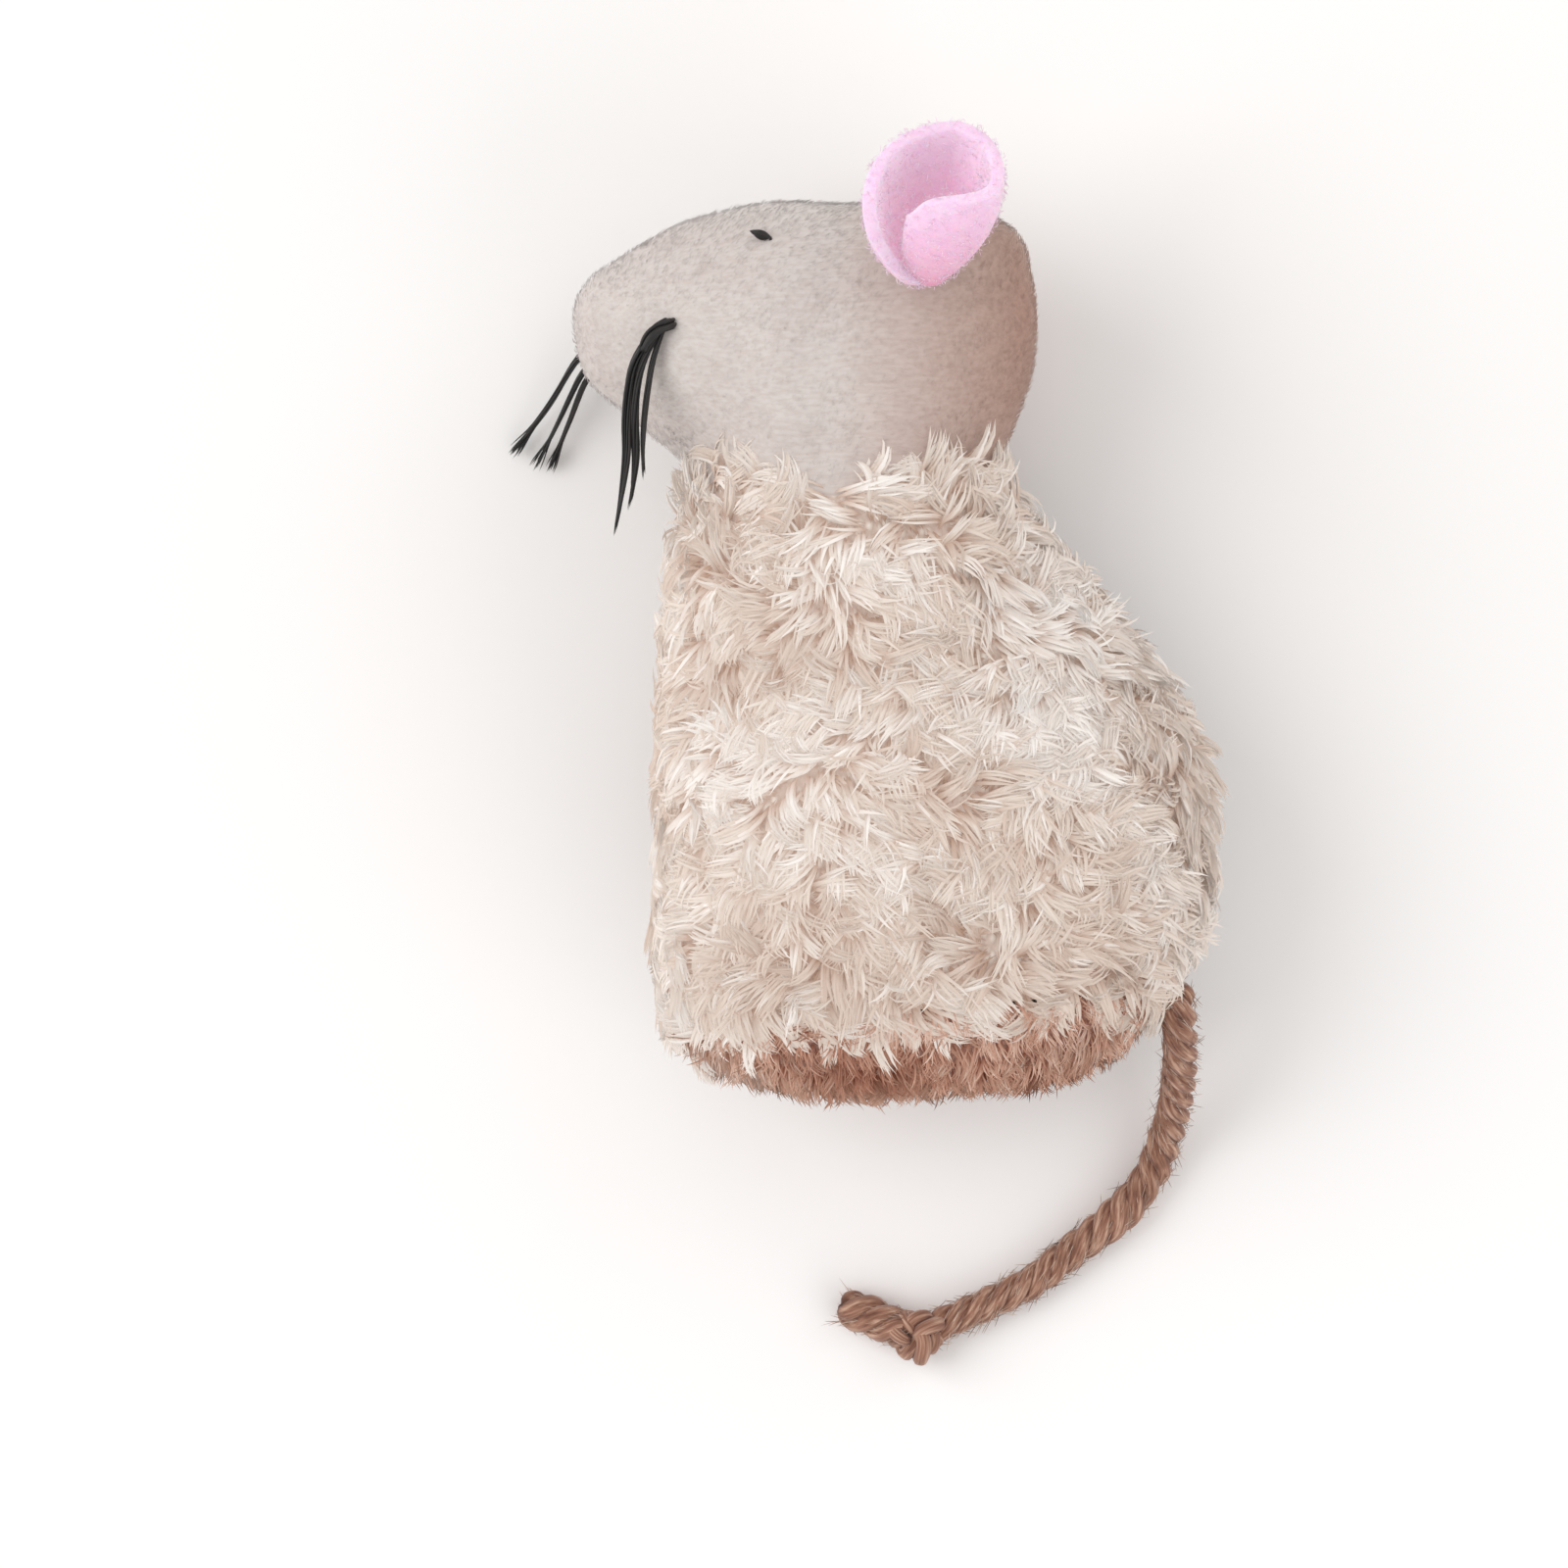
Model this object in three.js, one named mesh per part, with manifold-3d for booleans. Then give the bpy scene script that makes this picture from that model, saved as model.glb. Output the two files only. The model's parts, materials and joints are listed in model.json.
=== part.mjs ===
// A small stuffed plush mouse lying on its far side: a long-pile body, a short-pile head, felt
// ears, thread eyes and whiskers, and a jute rope tail with a knot.
// Millimetres, +Z up. The crown of the head is towards +Y and the nose towards -X. The origin is
// under the middle of the mouse, on the surface it lies on. "Near" is the upper side.
import * as THREE from "three";
import { mergeVertices } from "three/addons/utils/BufferGeometryUtils.js";
import Module from "manifold-3d";

const wasm = await Module();
wasm.setup();

// Driving dimensions, in millimetres and degrees.
const BODY_WIDTH = 40.8; // belly to back
const BODY_LENGTH = 44.6; // neck to base
const BODY_BULGE = 13; // seam plane to the top of the near side
const HEAD_LENGTH = 33.1; // nose to nape
const HEAD_HEIGHT = 19.7; // neck to crown
const HEAD_BULGE = 11; // seam plane to the side of the head
const SNOUT_THINNING = 0.3; // share of the bulge lost at the tip of the nose
const NECK = new THREE.Vector2(-1, 9.5); // middle of the neck seam, where the head bends
const NECK_WIDTH = 22.2;
const NOD_LIMIT = 10; // degrees the head bends each way
const PLUSH = 2.6; // long-pile fabric with its pile
const VELOUR = 1; // short-pile fabric
const STUFFING_SPACE = 1.8; // room for the seam allowance between fabric and filling
const THREAD = 0.4;
const SEAM_GAP = 0.7; // between two panels that are sewn together
const BASE_SEAM_START = 2; // height over the seam plane where the base seam's thread starts
const NECK_SEAM_START = 5; // and where the neck seam's thread starts
const FACET = 1; // how far the far side is flattened by lying on it
const CLEARANCE = 0.3;
const BASE_SLOPE = 5; // degrees the base seam rises towards the tail
const TAIL_BEARING = -33; // degrees round the body, from the middle of it to the tail
const ROPE = 2.5;
const TAIL_SEWN_IN = 6; // rope caught inside the body
const TAIL_MOUTH = 3; // radius of the gap in the seam that the tail swings in
const KNOT = 3.9;
const FELT = 0.9;
const EAR_LENGTH = 9.83;
const EAR_BASE = 1; // radius at the tacked end
const EAR_RIM = 4.7; // radius at the open end
const EAR_TALLER_BACK = 0.2; // share by which the back of the ear is longer
const EAR_TILT = 44; // degrees the ear rises off the seam plane
const EAR_LIFT = 1; // ear to head, so that it can fold
const EAR_OPENING = 50; // degrees left open along the side of the rolled ear
const FOLDED_EAR = 1.4; // two layers of felt pressed flat
const WHISKER = 0.6;
const WHISKER_BUNDLE = 0.9; // the threads together, where they pass through the snout
const EYE_LENGTH = 1.9;
const EYE_THICKNESS = 0.7;

// The seam plane lies high enough for the body, and for the head with an ear folded under it.
const SEAM = Math.max(BODY_BULGE, HEAD_BULGE + FOLDED_EAR + 2 * CLEARANCE);
const FAR = 1000; // reach of a cutting block
const OUTLINE_STEPS = 480; // points worked out round a stuffed form

const radians = THREE.MathUtils.degToRad;

// ---------- solids ----------

function solidOf(geometry) {
  const bare = geometry.index ? geometry.toNonIndexed() : geometry.clone();
  bare.deleteAttribute("normal");
  bare.deleteAttribute("uv");
  const merged = mergeVertices(bare, 1e-4);
  const vertProperties = merged.attributes.position.array;
  const triVerts = new Uint32Array(merged.index.array);
  return new wasm.Manifold(new wasm.Mesh({ numProp: 3, vertProperties, triVerts }));
}

function geometryOf(solid) {
  const { vertProperties, triVerts } = solid.getMesh();
  const geometry = new THREE.BufferGeometry();
  geometry.setAttribute("position", new THREE.BufferAttribute(vertProperties, 3));
  geometry.setIndex(new THREE.BufferAttribute(triVerts, 1));
  const flat = geometry.toNonIndexed();
  flat.computeVertexNormals();
  return flat;
}

// The prism over a polygon in the XY plane, from one height to another.
function prism(corners, low, high) {
  const shape = new THREE.Shape(corners.map(([x, y]) => new THREE.Vector2(x, y)));
  const block = new THREE.ExtrudeGeometry(shape, { depth: high - low, bevelEnabled: false });
  return solidOf(block.translate(0, 0, low));
}

function tube(points, diameter, { sides = 6, steps = 2 * points.length } = {}) {
  const section = new THREE.Shape();
  section.absarc(0, 0, diameter / 2, 0, 2 * Math.PI);
  return new THREE.ExtrudeGeometry(section, {
    curveSegments: sides / 2,
    steps,
    bevelEnabled: false,
    extrudePath: new THREE.CatmullRomCurve3(points),
  });
}

function rod(from, to, diameter, sides = 8) {
  return tube([from, from.clone().lerp(to, 0.5), to], diameter, { sides, steps: 1 });
}

function lump(centre, length, width, height, turn = 0) {
  const ball = new THREE.SphereGeometry(0.5, 10, 7);
  return ball.scale(length, width, height).rotateZ(radians(turn)).translate(...centre);
}

// ---------- stuffed forms ----------

// A stuffed form is puffed up from a closed outline in the seam plane. Every ray from its middle
// meets the outline once, so its height is worked out anywhere inside.
class StuffedForm {
  constructor({ outline, middle, near, far, fullness, thinning = () => 1 }) {
    this.middle = middle;
    this.near = near;
    this.far = far;
    this.fullness = fullness;
    this.thinning = thinning;
    const corners = outline.map(([x, y]) => new THREE.Vector3(x - middle.x, y - middle.y, 0));
    const curve = new THREE.CatmullRomCurve3(corners, true);
    this.rays = curve
      .getPoints(OUTLINE_STEPS)
      .map((p) => ({ angle: Math.atan2(p.y, p.x), reach: p.length() }))
      .sort((a, b) => a.angle - b.angle);
  }

  // Distance from the middle to the outline along a bearing in radians.
  reach(bearing) {
    const turn = 2 * Math.PI;
    const angle = bearing - turn * Math.round(bearing / turn);
    const { rays } = this;
    const found = rays.findIndex((ray) => ray.angle > angle);
    const next = found < 0 ? 0 : found;
    const before = rays[(next + rays.length - 1) % rays.length];
    const after = rays[next];
    const span = (after.angle - before.angle + turn) % turn;
    const share = span > 0 ? ((angle - before.angle + turn) % turn) / span : 0;
    return before.reach + (after.reach - before.reach) * share;
  }

  // The point of the outline on a bearing in radians, taken in by an inset.
  edge(bearing, inset = 0, z = SEAM) {
    const r = this.reach(bearing) - inset;
    const x = this.middle.x + r * Math.cos(bearing);
    const y = this.middle.y + r * Math.sin(bearing);
    return new THREE.Vector3(x, y, z);
  }

  // Height above (side 1) or below (side -1) the seam plane of the surface, taken in by an inset.
  height(x, y, side = 1, inset = 0) {
    const bearing = Math.atan2(y - this.middle.y, x - this.middle.x);
    const share = Math.hypot(x - this.middle.x, y - this.middle.y) / (this.reach(bearing) - inset);
    const puff = Math.max(0, 1 - share ** this.fullness) ** (1 / this.fullness);
    return ((side > 0 ? this.near : this.far) - inset) * puff * this.thinning(x);
  }

  surface(x, y, side = 1, inset = 0) {
    return new THREE.Vector3(x, y, SEAM + side * this.height(x, y, side, inset));
  }

  solid(inset, around, rings) {
    const ball = new THREE.SphereGeometry(1, around, rings).rotateX(Math.PI / 2);
    const at = ball.attributes.position;
    for (let i = 0; i < at.count; i++) {
      const outward = Math.min(1, Math.hypot(at.getX(i), at.getY(i)));
      const bearing = Math.atan2(at.getY(i), at.getX(i));
      const r = (this.reach(bearing) - inset) * outward ** (2 / this.fullness);
      const x = this.middle.x + r * Math.cos(bearing);
      const y = this.middle.y + r * Math.sin(bearing);
      const up = at.getZ(i);
      const bulge = (up > 0 ? this.near : this.far) - inset;
      const z = Math.sign(up) * bulge * Math.abs(up) ** (2 / this.fullness) * this.thinning(x);
      at.setXYZ(i, x, y, SEAM + (outward > 0.999 ? 0 : z));
    }
    return solidOf(ball);
  }

  // A thread that follows the outline between two bearings in degrees.
  seamAlong(from, to, inset) {
    const count = Math.ceil(Math.abs(to - from) / 9);
    const at = (i) => this.edge(radians(from + ((to - from) * i) / count), inset);
    return tube(Array.from({ length: count + 1 }, (_, i) => at(i)), THREAD);
  }

  // How far a line y(x) can be followed in a direction before the form is lower than a height.
  followed(line, direction, inset, lowest) {
    let x = this.middle.x;
    while (this.height(x, line(x), 1, inset) > lowest) x += 0.1 * direction;
    return x;
  }

  // A thread that crosses one side of the form, over the line y(x), from one x to another.
  seamAcross(line, from, to, side, inset, thickness = THREAD) {
    const count = 10;
    const at = (i) => {
      const x = THREE.MathUtils.lerp(from, to, 0.5 - 0.5 * Math.cos((Math.PI * i) / count));
      return this.surface(x, line(x), side, inset);
    };
    return tube(Array.from({ length: count + 1 }, (_, i) => at(i)), thickness);
  }
}

const neckPoint = (x, y) => [NECK.x + x, NECK.y + y];
const halfNeck = NECK_WIDTH / 2;

// Both outlines run anticlockwise, and go on past the neck so that the form is full there.
const body = new StuffedForm({
  outline: [
    neckPoint(halfNeck, 0),
    neckPoint(0.43 * BODY_WIDTH, -0.18 * BODY_LENGTH),
    neckPoint(0.6 * BODY_WIDTH, -0.38 * BODY_LENGTH),
    neckPoint(0.654 * BODY_WIDTH, -0.57 * BODY_LENGTH),
    neckPoint(0.61 * BODY_WIDTH, -0.78 * BODY_LENGTH),
    neckPoint(0.453 * BODY_WIDTH, -0.95 * BODY_LENGTH),
    neckPoint(0.238 * BODY_WIDTH, -0.99 * BODY_LENGTH),
    neckPoint(0, -BODY_LENGTH),
    neckPoint(-0.21 * BODY_WIDTH, -0.965 * BODY_LENGTH),
    neckPoint(-0.333 * BODY_WIDTH, -0.85 * BODY_LENGTH),
    neckPoint(-0.346 * BODY_WIDTH, -0.65 * BODY_LENGTH),
    neckPoint(-0.336 * BODY_WIDTH, -0.36 * BODY_LENGTH),
    neckPoint(-halfNeck - 0.9, -0.11 * BODY_LENGTH),
    neckPoint(-halfNeck, 0),
    neckPoint(-0.8 * halfNeck, 0.55 * halfNeck),
    neckPoint(0, 0.85 * halfNeck),
    neckPoint(0.8 * halfNeck, 0.55 * halfNeck),
  ],
  middle: new THREE.Vector2(NECK.x + 0.12 * BODY_WIDTH, NECK.y - 0.55 * BODY_LENGTH),
  near: BODY_BULGE,
  far: SEAM + FACET,
  fullness: 2.4,
});

const noseStart = NECK.x - 0.15 * HEAD_LENGTH;
const noseReach = 0.43 * HEAD_LENGTH;
const head = new StuffedForm({
  outline: [
    neckPoint(halfNeck, 0),
    neckPoint(0.362 * HEAD_LENGTH, 0.16 * HEAD_HEIGHT),
    neckPoint(0.401 * HEAD_LENGTH, 0.34 * HEAD_HEIGHT),
    neckPoint(0.417 * HEAD_LENGTH, 0.53 * HEAD_HEIGHT),
    neckPoint(0.408 * HEAD_LENGTH, 0.72 * HEAD_HEIGHT),
    neckPoint(0.364 * HEAD_LENGTH, 0.9 * HEAD_HEIGHT),
    neckPoint(0.21 * HEAD_LENGTH, 0.992 * HEAD_HEIGHT),
    neckPoint(0, HEAD_HEIGHT),
    neckPoint(-0.218 * HEAD_LENGTH, 0.97 * HEAD_HEIGHT),
    neckPoint(-0.45 * HEAD_LENGTH, 0.805 * HEAD_HEIGHT),
    neckPoint(-0.555 * HEAD_LENGTH, 0.68 * HEAD_HEIGHT),
    neckPoint(-0.583 * HEAD_LENGTH, 0.555 * HEAD_HEIGHT),
    neckPoint(-0.556 * HEAD_LENGTH, 0.38 * HEAD_HEIGHT),
    neckPoint(-0.44 * HEAD_LENGTH, 0.163 * HEAD_HEIGHT),
    neckPoint(-halfNeck, 0),
    neckPoint(-0.85 * halfNeck, -0.45 * halfNeck),
    neckPoint(0, -0.8 * halfNeck),
    neckPoint(0.85 * halfNeck, -0.45 * halfNeck),
  ],
  middle: new THREE.Vector2(NECK.x - 0.02 * HEAD_LENGTH, NECK.y + 0.44 * HEAD_HEIGHT),
  near: HEAD_BULGE,
  far: HEAD_BULGE,
  fullness: 2.3,
  thinning: (x) => 1 - SNOUT_THINNING * THREE.MathUtils.clamp((noseStart - x) / noseReach, 0, 1),
});

// ---------- cutting blocks ----------

const square = (low, high) => prism([[-FAR, -FAR], [FAR, -FAR], [FAR, FAR], [-FAR, FAR]], low, high);
const nearSide = square(SEAM + SEAM_GAP / 2, FAR);
const farSide = square(-FAR, SEAM - SEAM_GAP / 2);
const aboveSurface = square(0, FAR);

// The head starts above a shallow V at the neck, so that it can bend either way.
const neckRise = FAR * Math.tan(radians(NOD_LIMIT + 1));
const belowNeck = prism([[-FAR, -FAR], [FAR, -FAR], neckPoint(FAR, 0), neckPoint(-FAR, 0)], -FAR, FAR);
const aboveNeck = prism(
  [
    neckPoint(0, CLEARANCE),
    neckPoint(FAR, CLEARANCE + neckRise),
    [FAR, 2 * FAR],
    [-FAR, 2 * FAR],
    neckPoint(-FAR, CLEARANCE + neckRise),
  ],
  -FAR,
  FAR,
);

// The base seam runs through the corner where the tail leaves.
const tailRoot = body.edge(radians(TAIL_BEARING));
const slope = Math.tan(radians(BASE_SLOPE));
const baseSeamY = (x) => tailRoot.y + slope * (x - tailRoot.x);
const baseLine = (x, shift) => [x, baseSeamY(x) + shift];
const aboveBase = prism(
  [baseLine(-FAR, SEAM_GAP / 2), baseLine(FAR, SEAM_GAP / 2), [FAR, FAR], [-FAR, FAR]],
  -FAR,
  FAR,
);
const belowBase = prism(
  [[-FAR, -FAR], [FAR, -FAR], baseLine(FAR, -SEAM_GAP / 2), baseLine(-FAR, -SEAM_GAP / 2)],
  -FAR,
  FAR,
);

// ---------- tail ----------

const inward = new THREE.Vector3(body.middle.x - tailRoot.x, body.middle.y - tailRoot.y, 0).normalize();
const sewnInGap = ROPE / 2 + CLEARANCE;
const sewnInFrom = tailRoot.clone().addScaledVector(inward, sewnInGap);
const sewnInTo = tailRoot.clone().addScaledVector(inward, sewnInGap + TAIL_SEWN_IN);
const tailBore = solidOf(
  rod(
    tailRoot.clone().addScaledVector(inward, -ROPE),
    sewnInTo.clone().addScaledVector(inward, CLEARANCE),
    ROPE + 2 * CLEARANCE,
    12,
  ),
);
const mouthDisc = new THREE.CylinderGeometry(TAIL_MOUTH, TAIL_MOUTH, 1.8 * ROPE, 20);
const tailMouth = solidOf(
  mouthDisc.rotateX(Math.PI / 2).translate(tailRoot.x, tailRoot.y, tailRoot.z - 0.2 * ROPE),
);
const tailRoom = tailBore.add(tailMouth);

// The rope leaves the corner of the base level, sinks to the surface and curls back under the base.
// Each point is a step in X and Y from the root, and a share of the way up from the surface to it.
const TAIL_ROUTE = [
  [0, 0, 1],
  [0.2, -1.8, 0.966],
  [0.35, -3.8, 0.846],
  [0.4, -5.8, 0.648],
  [0.25, -7.8, 0.425],
  [-0.15, -9.8, 0.227],
  [-0.7, -11.6, 0.09],
  [-1.6, -13.8, 0.021],
  [-3.4, -16.2, 0],
  [-5.1, -17.7, 0],
  [-7, -19.1, 0],
  [-10.3, -21.6, 0],
  [-14, -23.4, 0],
  [-16.3, -24.4, 0.01],
];
const KNOT_AT = [-18.5, -25.4, 0.06];
const FREE_END_ROUTE = [
  [-20.7, -24.6, 0.02],
  [-22, -24, 0],
  [-24, -23.3, 0],
];
const LYING = ROPE / 2 + 0.1; // middle of the rope where it lies on the surface
const fromRoot = ([x, y, up]) =>
  new THREE.Vector3(tailRoot.x + x, tailRoot.y + y, THREE.MathUtils.lerp(LYING, SEAM, up));

// ---------- head fittings ----------

const onHead = (along, up, side, outwards) => {
  const p = head.surface(NECK.x + along * HEAD_LENGTH, NECK.y + up * HEAD_HEIGHT, side);
  p.z += side * outwards;
  return p;
};

const snoutHole = (inset) => {
  const from = onHead(-0.393, 0.533, 1, inset);
  const to = onHead(-0.393, 0.533, -1, inset);
  return { from, to };
};
const throughHole = snoutHole(2);
const throughThread = snoutHole(-0.2);
const threadRoom = solidOf(rod(throughHole.from, throughHole.to, WHISKER_BUNDLE + 2 * CLEARANCE));

// A rolled felt cone, open along one side, standing on the origin and opening towards +Z.
function rolledEar() {
  const from = radians(-90 + EAR_OPENING / 2);
  const to = radians(270 - EAR_OPENING / 2);
  const strip = new THREE.Shape();
  strip.absarc(0, 0, EAR_BASE + FELT / 2, from, to, false);
  strip.absarc(0, 0, EAR_BASE - FELT / 2, to, from, true);
  const sweep = { depth: 1, steps: 5, curveSegments: 16, bevelEnabled: false };
  const ear = new THREE.ExtrudeGeometry(strip, sweep);
  const at = ear.attributes.position;
  for (let i = 0; i < at.count; i++) {
    const bearing = Math.atan2(at.getY(i), at.getX(i));
    const up = at.getZ(i);
    const r = Math.hypot(at.getX(i), at.getY(i)) + (EAR_RIM - EAR_BASE) * up ** 0.75;
    const tall = EAR_LENGTH * (1 + EAR_TALLER_BACK * Math.sin(bearing));
    at.setXYZ(i, r * Math.cos(bearing), r * Math.sin(bearing), up * tall);
  }
  return ear;
}

// The far ear is pressed flat between the head and the surface, and turned back to its tack by a stem.
function foldedEar(root) {
  const long = 1.12 * EAR_LENGTH;
  const leaf = new THREE.Shape();
  leaf.moveTo(-EAR_BASE, 0);
  leaf.bezierCurveTo(-EAR_RIM, -0.3 * long, -1.2 * EAR_RIM, -long, 0, -long);
  leaf.bezierCurveTo(1.2 * EAR_RIM, -long, EAR_RIM, -0.3 * long, EAR_BASE, 0);
  leaf.bezierCurveTo(EAR_BASE, 1.3 * EAR_BASE, -EAR_BASE, 1.3 * EAR_BASE, -EAR_BASE, 0);
  const sweep = { depth: FOLDED_EAR, curveSegments: 7, bevelEnabled: false };
  const flat = new THREE.ExtrudeGeometry(leaf, sweep);
  flat.rotateZ(radians(-12)).translate(root.x, root.y, 0);
  const stem = new THREE.CylinderGeometry(0.8 * EAR_BASE, 0.8 * EAR_BASE, root.z - 0.5 * FOLDED_EAR, 10);
  stem.rotateX(Math.PI / 2).translate(root.x, root.y, (root.z + 0.5 * FOLDED_EAR) / 2);
  return geometryOf(solidOf(flat).add(solidOf(stem)));
}

const earNearRoot = onHead(0.178, 0.69, 1, EAR_LIFT);
const earFarRoot = onHead(0.178, 0.69, -1, EAR_LIFT);

// ---------- materials and nodes ----------

const cloth = (color, roughness = 0.95) =>
  new THREE.MeshStandardMaterial({ color, roughness, metalness: 0 });
const plush = cloth(0xd9cbbf);
const shortPlush = cloth(0x9a7468);
const velour = cloth(0xd0c8c4);
const filling = cloth(0xf2f0ec);
const seamThread = cloth(0xd8cfc6, 0.8);
const blackThread = cloth(0x0f0a0a, 0.7);
const felt = cloth(0xebb5da);
const pinkThread = cloth(0xe6a8cc, 0.8);
const jute = cloth(0xa47b66);

const mouse = new THREE.Group();

function add(name, geometry, material) {
  const mesh = new THREE.Mesh(geometry, material);
  mesh.name = name;
  mouse.add(mesh);
}

// ---------- body ----------

const bodySeamInset = PLUSH + STUFFING_SPACE / 2;
const neckSeamY = () => NECK.y - 2 * THREAD;
const baseLeft = body.edge(radians(-142));
const baseEnd = (direction) => body.followed(baseSeamY, direction, bodySeamInset, BASE_SEAM_START);
const neckEnd = (direction) => body.followed(neckSeamY, direction, bodySeamInset, NECK_SEAM_START);
const baseFrom = baseEnd(-1);
const baseTo = Math.min(baseEnd(1), tailRoot.x - 2 * TAIL_MOUTH);
const neckFrom = neckEnd(-1);
const neckTo = neckEnd(1);
const baseSeam = (side) => body.seamAcross(baseSeamY, baseFrom, baseTo, side, bodySeamInset);
const neckSeam = (side, thickness) =>
  body.seamAcross(neckSeamY, neckFrom, neckTo, side, bodySeamInset, thickness);
const seamRoom = solidOf(neckSeam(1, THREAD + CLEARANCE)).add(solidOf(neckSeam(-1, THREAD + CLEARANCE)));
for (const [name, side] of [["near", 1], ["far", -1]]) {
  add("gusset_seam_" + name, baseSeam(side), seamThread);
  add("neck_seam_" + name, neckSeam(side), seamThread);
}

const bodyOuter = body.solid(0, 44, 16);
const bodyInner = body.solid(PLUSH, 40, 14);
const bodyShell = bodyOuter.subtract(bodyInner).subtract(tailRoom).subtract(seamRoom);
const bodySides = bodyShell.intersect(belowNeck).intersect(aboveBase);
add("body_panel_near", geometryOf(bodySides.intersect(nearSide)), plush);
add("body_panel_far", geometryOf(bodySides.intersect(farSide).intersect(aboveSurface)), plush);
add("base_gusset", geometryOf(bodyShell.intersect(belowBase)), shortPlush);

const bodyFilling = body.solid(PLUSH + STUFFING_SPACE, 32, 10).subtract(tailRoom).subtract(seamRoom);
add("body_stuffing", geometryOf(bodyFilling.intersect(belowNeck)), filling);

const bearingOf = (form, x, y) => {
  const degrees = THREE.MathUtils.radToDeg(Math.atan2(y - form.middle.y, x - form.middle.x));
  return (degrees + 360) % 360;
};
const backFrom = bearingOf(body, NECK.x + halfNeck, NECK.y) - 2;
const bellyFrom = bearingOf(body, NECK.x - halfNeck, NECK.y) + 2;
const bellyTo = bearingOf(body, baseLeft.x, baseSeamY(baseLeft.x)) - 2;
add("back_seam_thread", body.seamAlong(backFrom, TAIL_BEARING + 12, bodySeamInset), seamThread);
add("belly_seam_thread", body.seamAlong(bellyFrom, bellyTo, bodySeamInset), seamThread);

add("tail_seam_end", rod(sewnInFrom, sewnInTo, ROPE), jute);

// ---------- head ----------

const headSeamInset = VELOUR + STUFFING_SPACE / 2;
const headOuter = head.solid(0, 44, 14);
const headInner = head.solid(VELOUR, 40, 12);
const headShell = headOuter.subtract(headInner).intersect(aboveNeck).subtract(threadRoom);
add("head_panel_near", geometryOf(headShell.intersect(nearSide)), velour);
add("head_panel_far", geometryOf(headShell.intersect(farSide)), velour);

const headFilling = head.solid(VELOUR + STUFFING_SPACE, 32, 10).intersect(aboveNeck);
add("head_stuffing", geometryOf(headFilling.subtract(threadRoom)), filling);

const napeFrom = bearingOf(head, NECK.x + halfNeck, NECK.y + 0.25 * HEAD_HEIGHT) - 360;
const throatTo = bearingOf(head, NECK.x - halfNeck, NECK.y + 0.25 * HEAD_HEIGHT);
add("head_seam_thread", head.seamAlong(napeFrom, throatTo, headSeamInset), seamThread);

for (const [name, side] of [["near", 1], ["far", -1]]) {
  const eye = onHead(-0.181, 0.873, side, EYE_THICKNESS / 2 + CLEARANCE);
  add("eye_" + name, lump(eye, EYE_LENGTH, EYE_THICKNESS, EYE_THICKNESS, -12), blackThread);
  const tack = onHead(0.178, 0.69, side, -headSeamInset);
  const half = new THREE.Vector3(EAR_BASE, 0, 0);
  add("ear_tack_" + name, rod(tack.clone().sub(half), tack.clone().add(half), THREAD, 6), pinkThread);
}
add("whisker_through_thread", rod(throughThread.from, throughThread.to, WHISKER_BUNDLE), blackThread);

// ---------- ears ----------

const nearEar = rolledEar().rotateX(radians(EAR_TILT - 90));
add("ear_near", nearEar.translate(earNearRoot.x, earNearRoot.y, earNearRoot.z), felt);
add("ear_far", foldedEar(earFarRoot), felt);

// ---------- whiskers ----------

// Each strand starts beside its root knot and is given by steps from the root.
const WHISKERS = {
  near: [
    [[-1.2, -1.6, 0.1], [-2.2, -5, 0.3], [-2.5, -9, 0.2], [-3.1, -12.5, -0.2], [-3.7, -15.2, -0.5]],
    [[-0.4, -1.7, 0.1], [-1.4, -5, 0.2], [-1.7, -9, 0.1], [-2.3, -12.5, -0.3], [-2.9, -14.4, -0.6]],
    [[0.4, -1.7, 0.1], [-0.5, -5, 0.1], [-0.9, -8, 0], [-1.1, -11, -0.3]],
  ],
  far: [
    [[-1.6, -0.2, -0.2], [-4.5, -1, -0.8], [-6.3, -1.8, -1.6], [-8.6, -5.4, -3.2], [-11.35, -8.9, -4.3]],
    [[-1.6, -1, -0.2], [-4.5, -2, -0.8], [-6, -2.9, -1.6], [-7.8, -6.5, -3.2], [-9.6, -10, -4.3]],
    [[-1.2, -1.8, -0.2], [-3.8, -2.9, -0.8], [-5.2, -3.7, -1.6], [-6.8, -6.8, -3.2], [-8.4, -10.1, -4.3]],
  ],
};

for (const [name, side] of [["near", 1], ["far", -1]]) {
  const knot = onHead(-0.393, 0.533, side, WHISKER_BUNDLE / 2 + CLEARANCE);
  add("whisker_knot_" + name, lump(knot, 2, 1.1, WHISKER_BUNDLE, 35), blackThread);
  WHISKERS[name].forEach((strand, i) => {
    const points = strand.map(([x, y, z]) => new THREE.Vector3(knot.x + x, knot.y + y, knot.z + z));
    add("whisker_" + name + "_" + (i + 1), tube(points, WHISKER), blackThread);
  });
}

// ---------- tail ----------

add("tail_rope", tube(TAIL_ROUTE.map(fromRoot), ROPE, { sides: 8, steps: 16 }), jute);
add("tail_knot", lump(fromRoot(KNOT_AT), 1.05 * KNOT, KNOT, KNOT, 30), jute);
add("tail_free_end", tube(FREE_END_ROUTE.map(fromRoot), 0.85 * ROPE, { sides: 8 }), jute);

export default mouse;
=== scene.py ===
"""A small stuffed plush mouse lying on its far side, in metres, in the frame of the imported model.

"Near" is the upper side, which the camera looks down on. Lengths are in millimetres until a mesh
is made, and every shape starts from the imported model's joints and nodes.
"""

import json
import math

import bmesh
import bpy
import numpy as np
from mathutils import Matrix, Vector, kdtree


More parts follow.
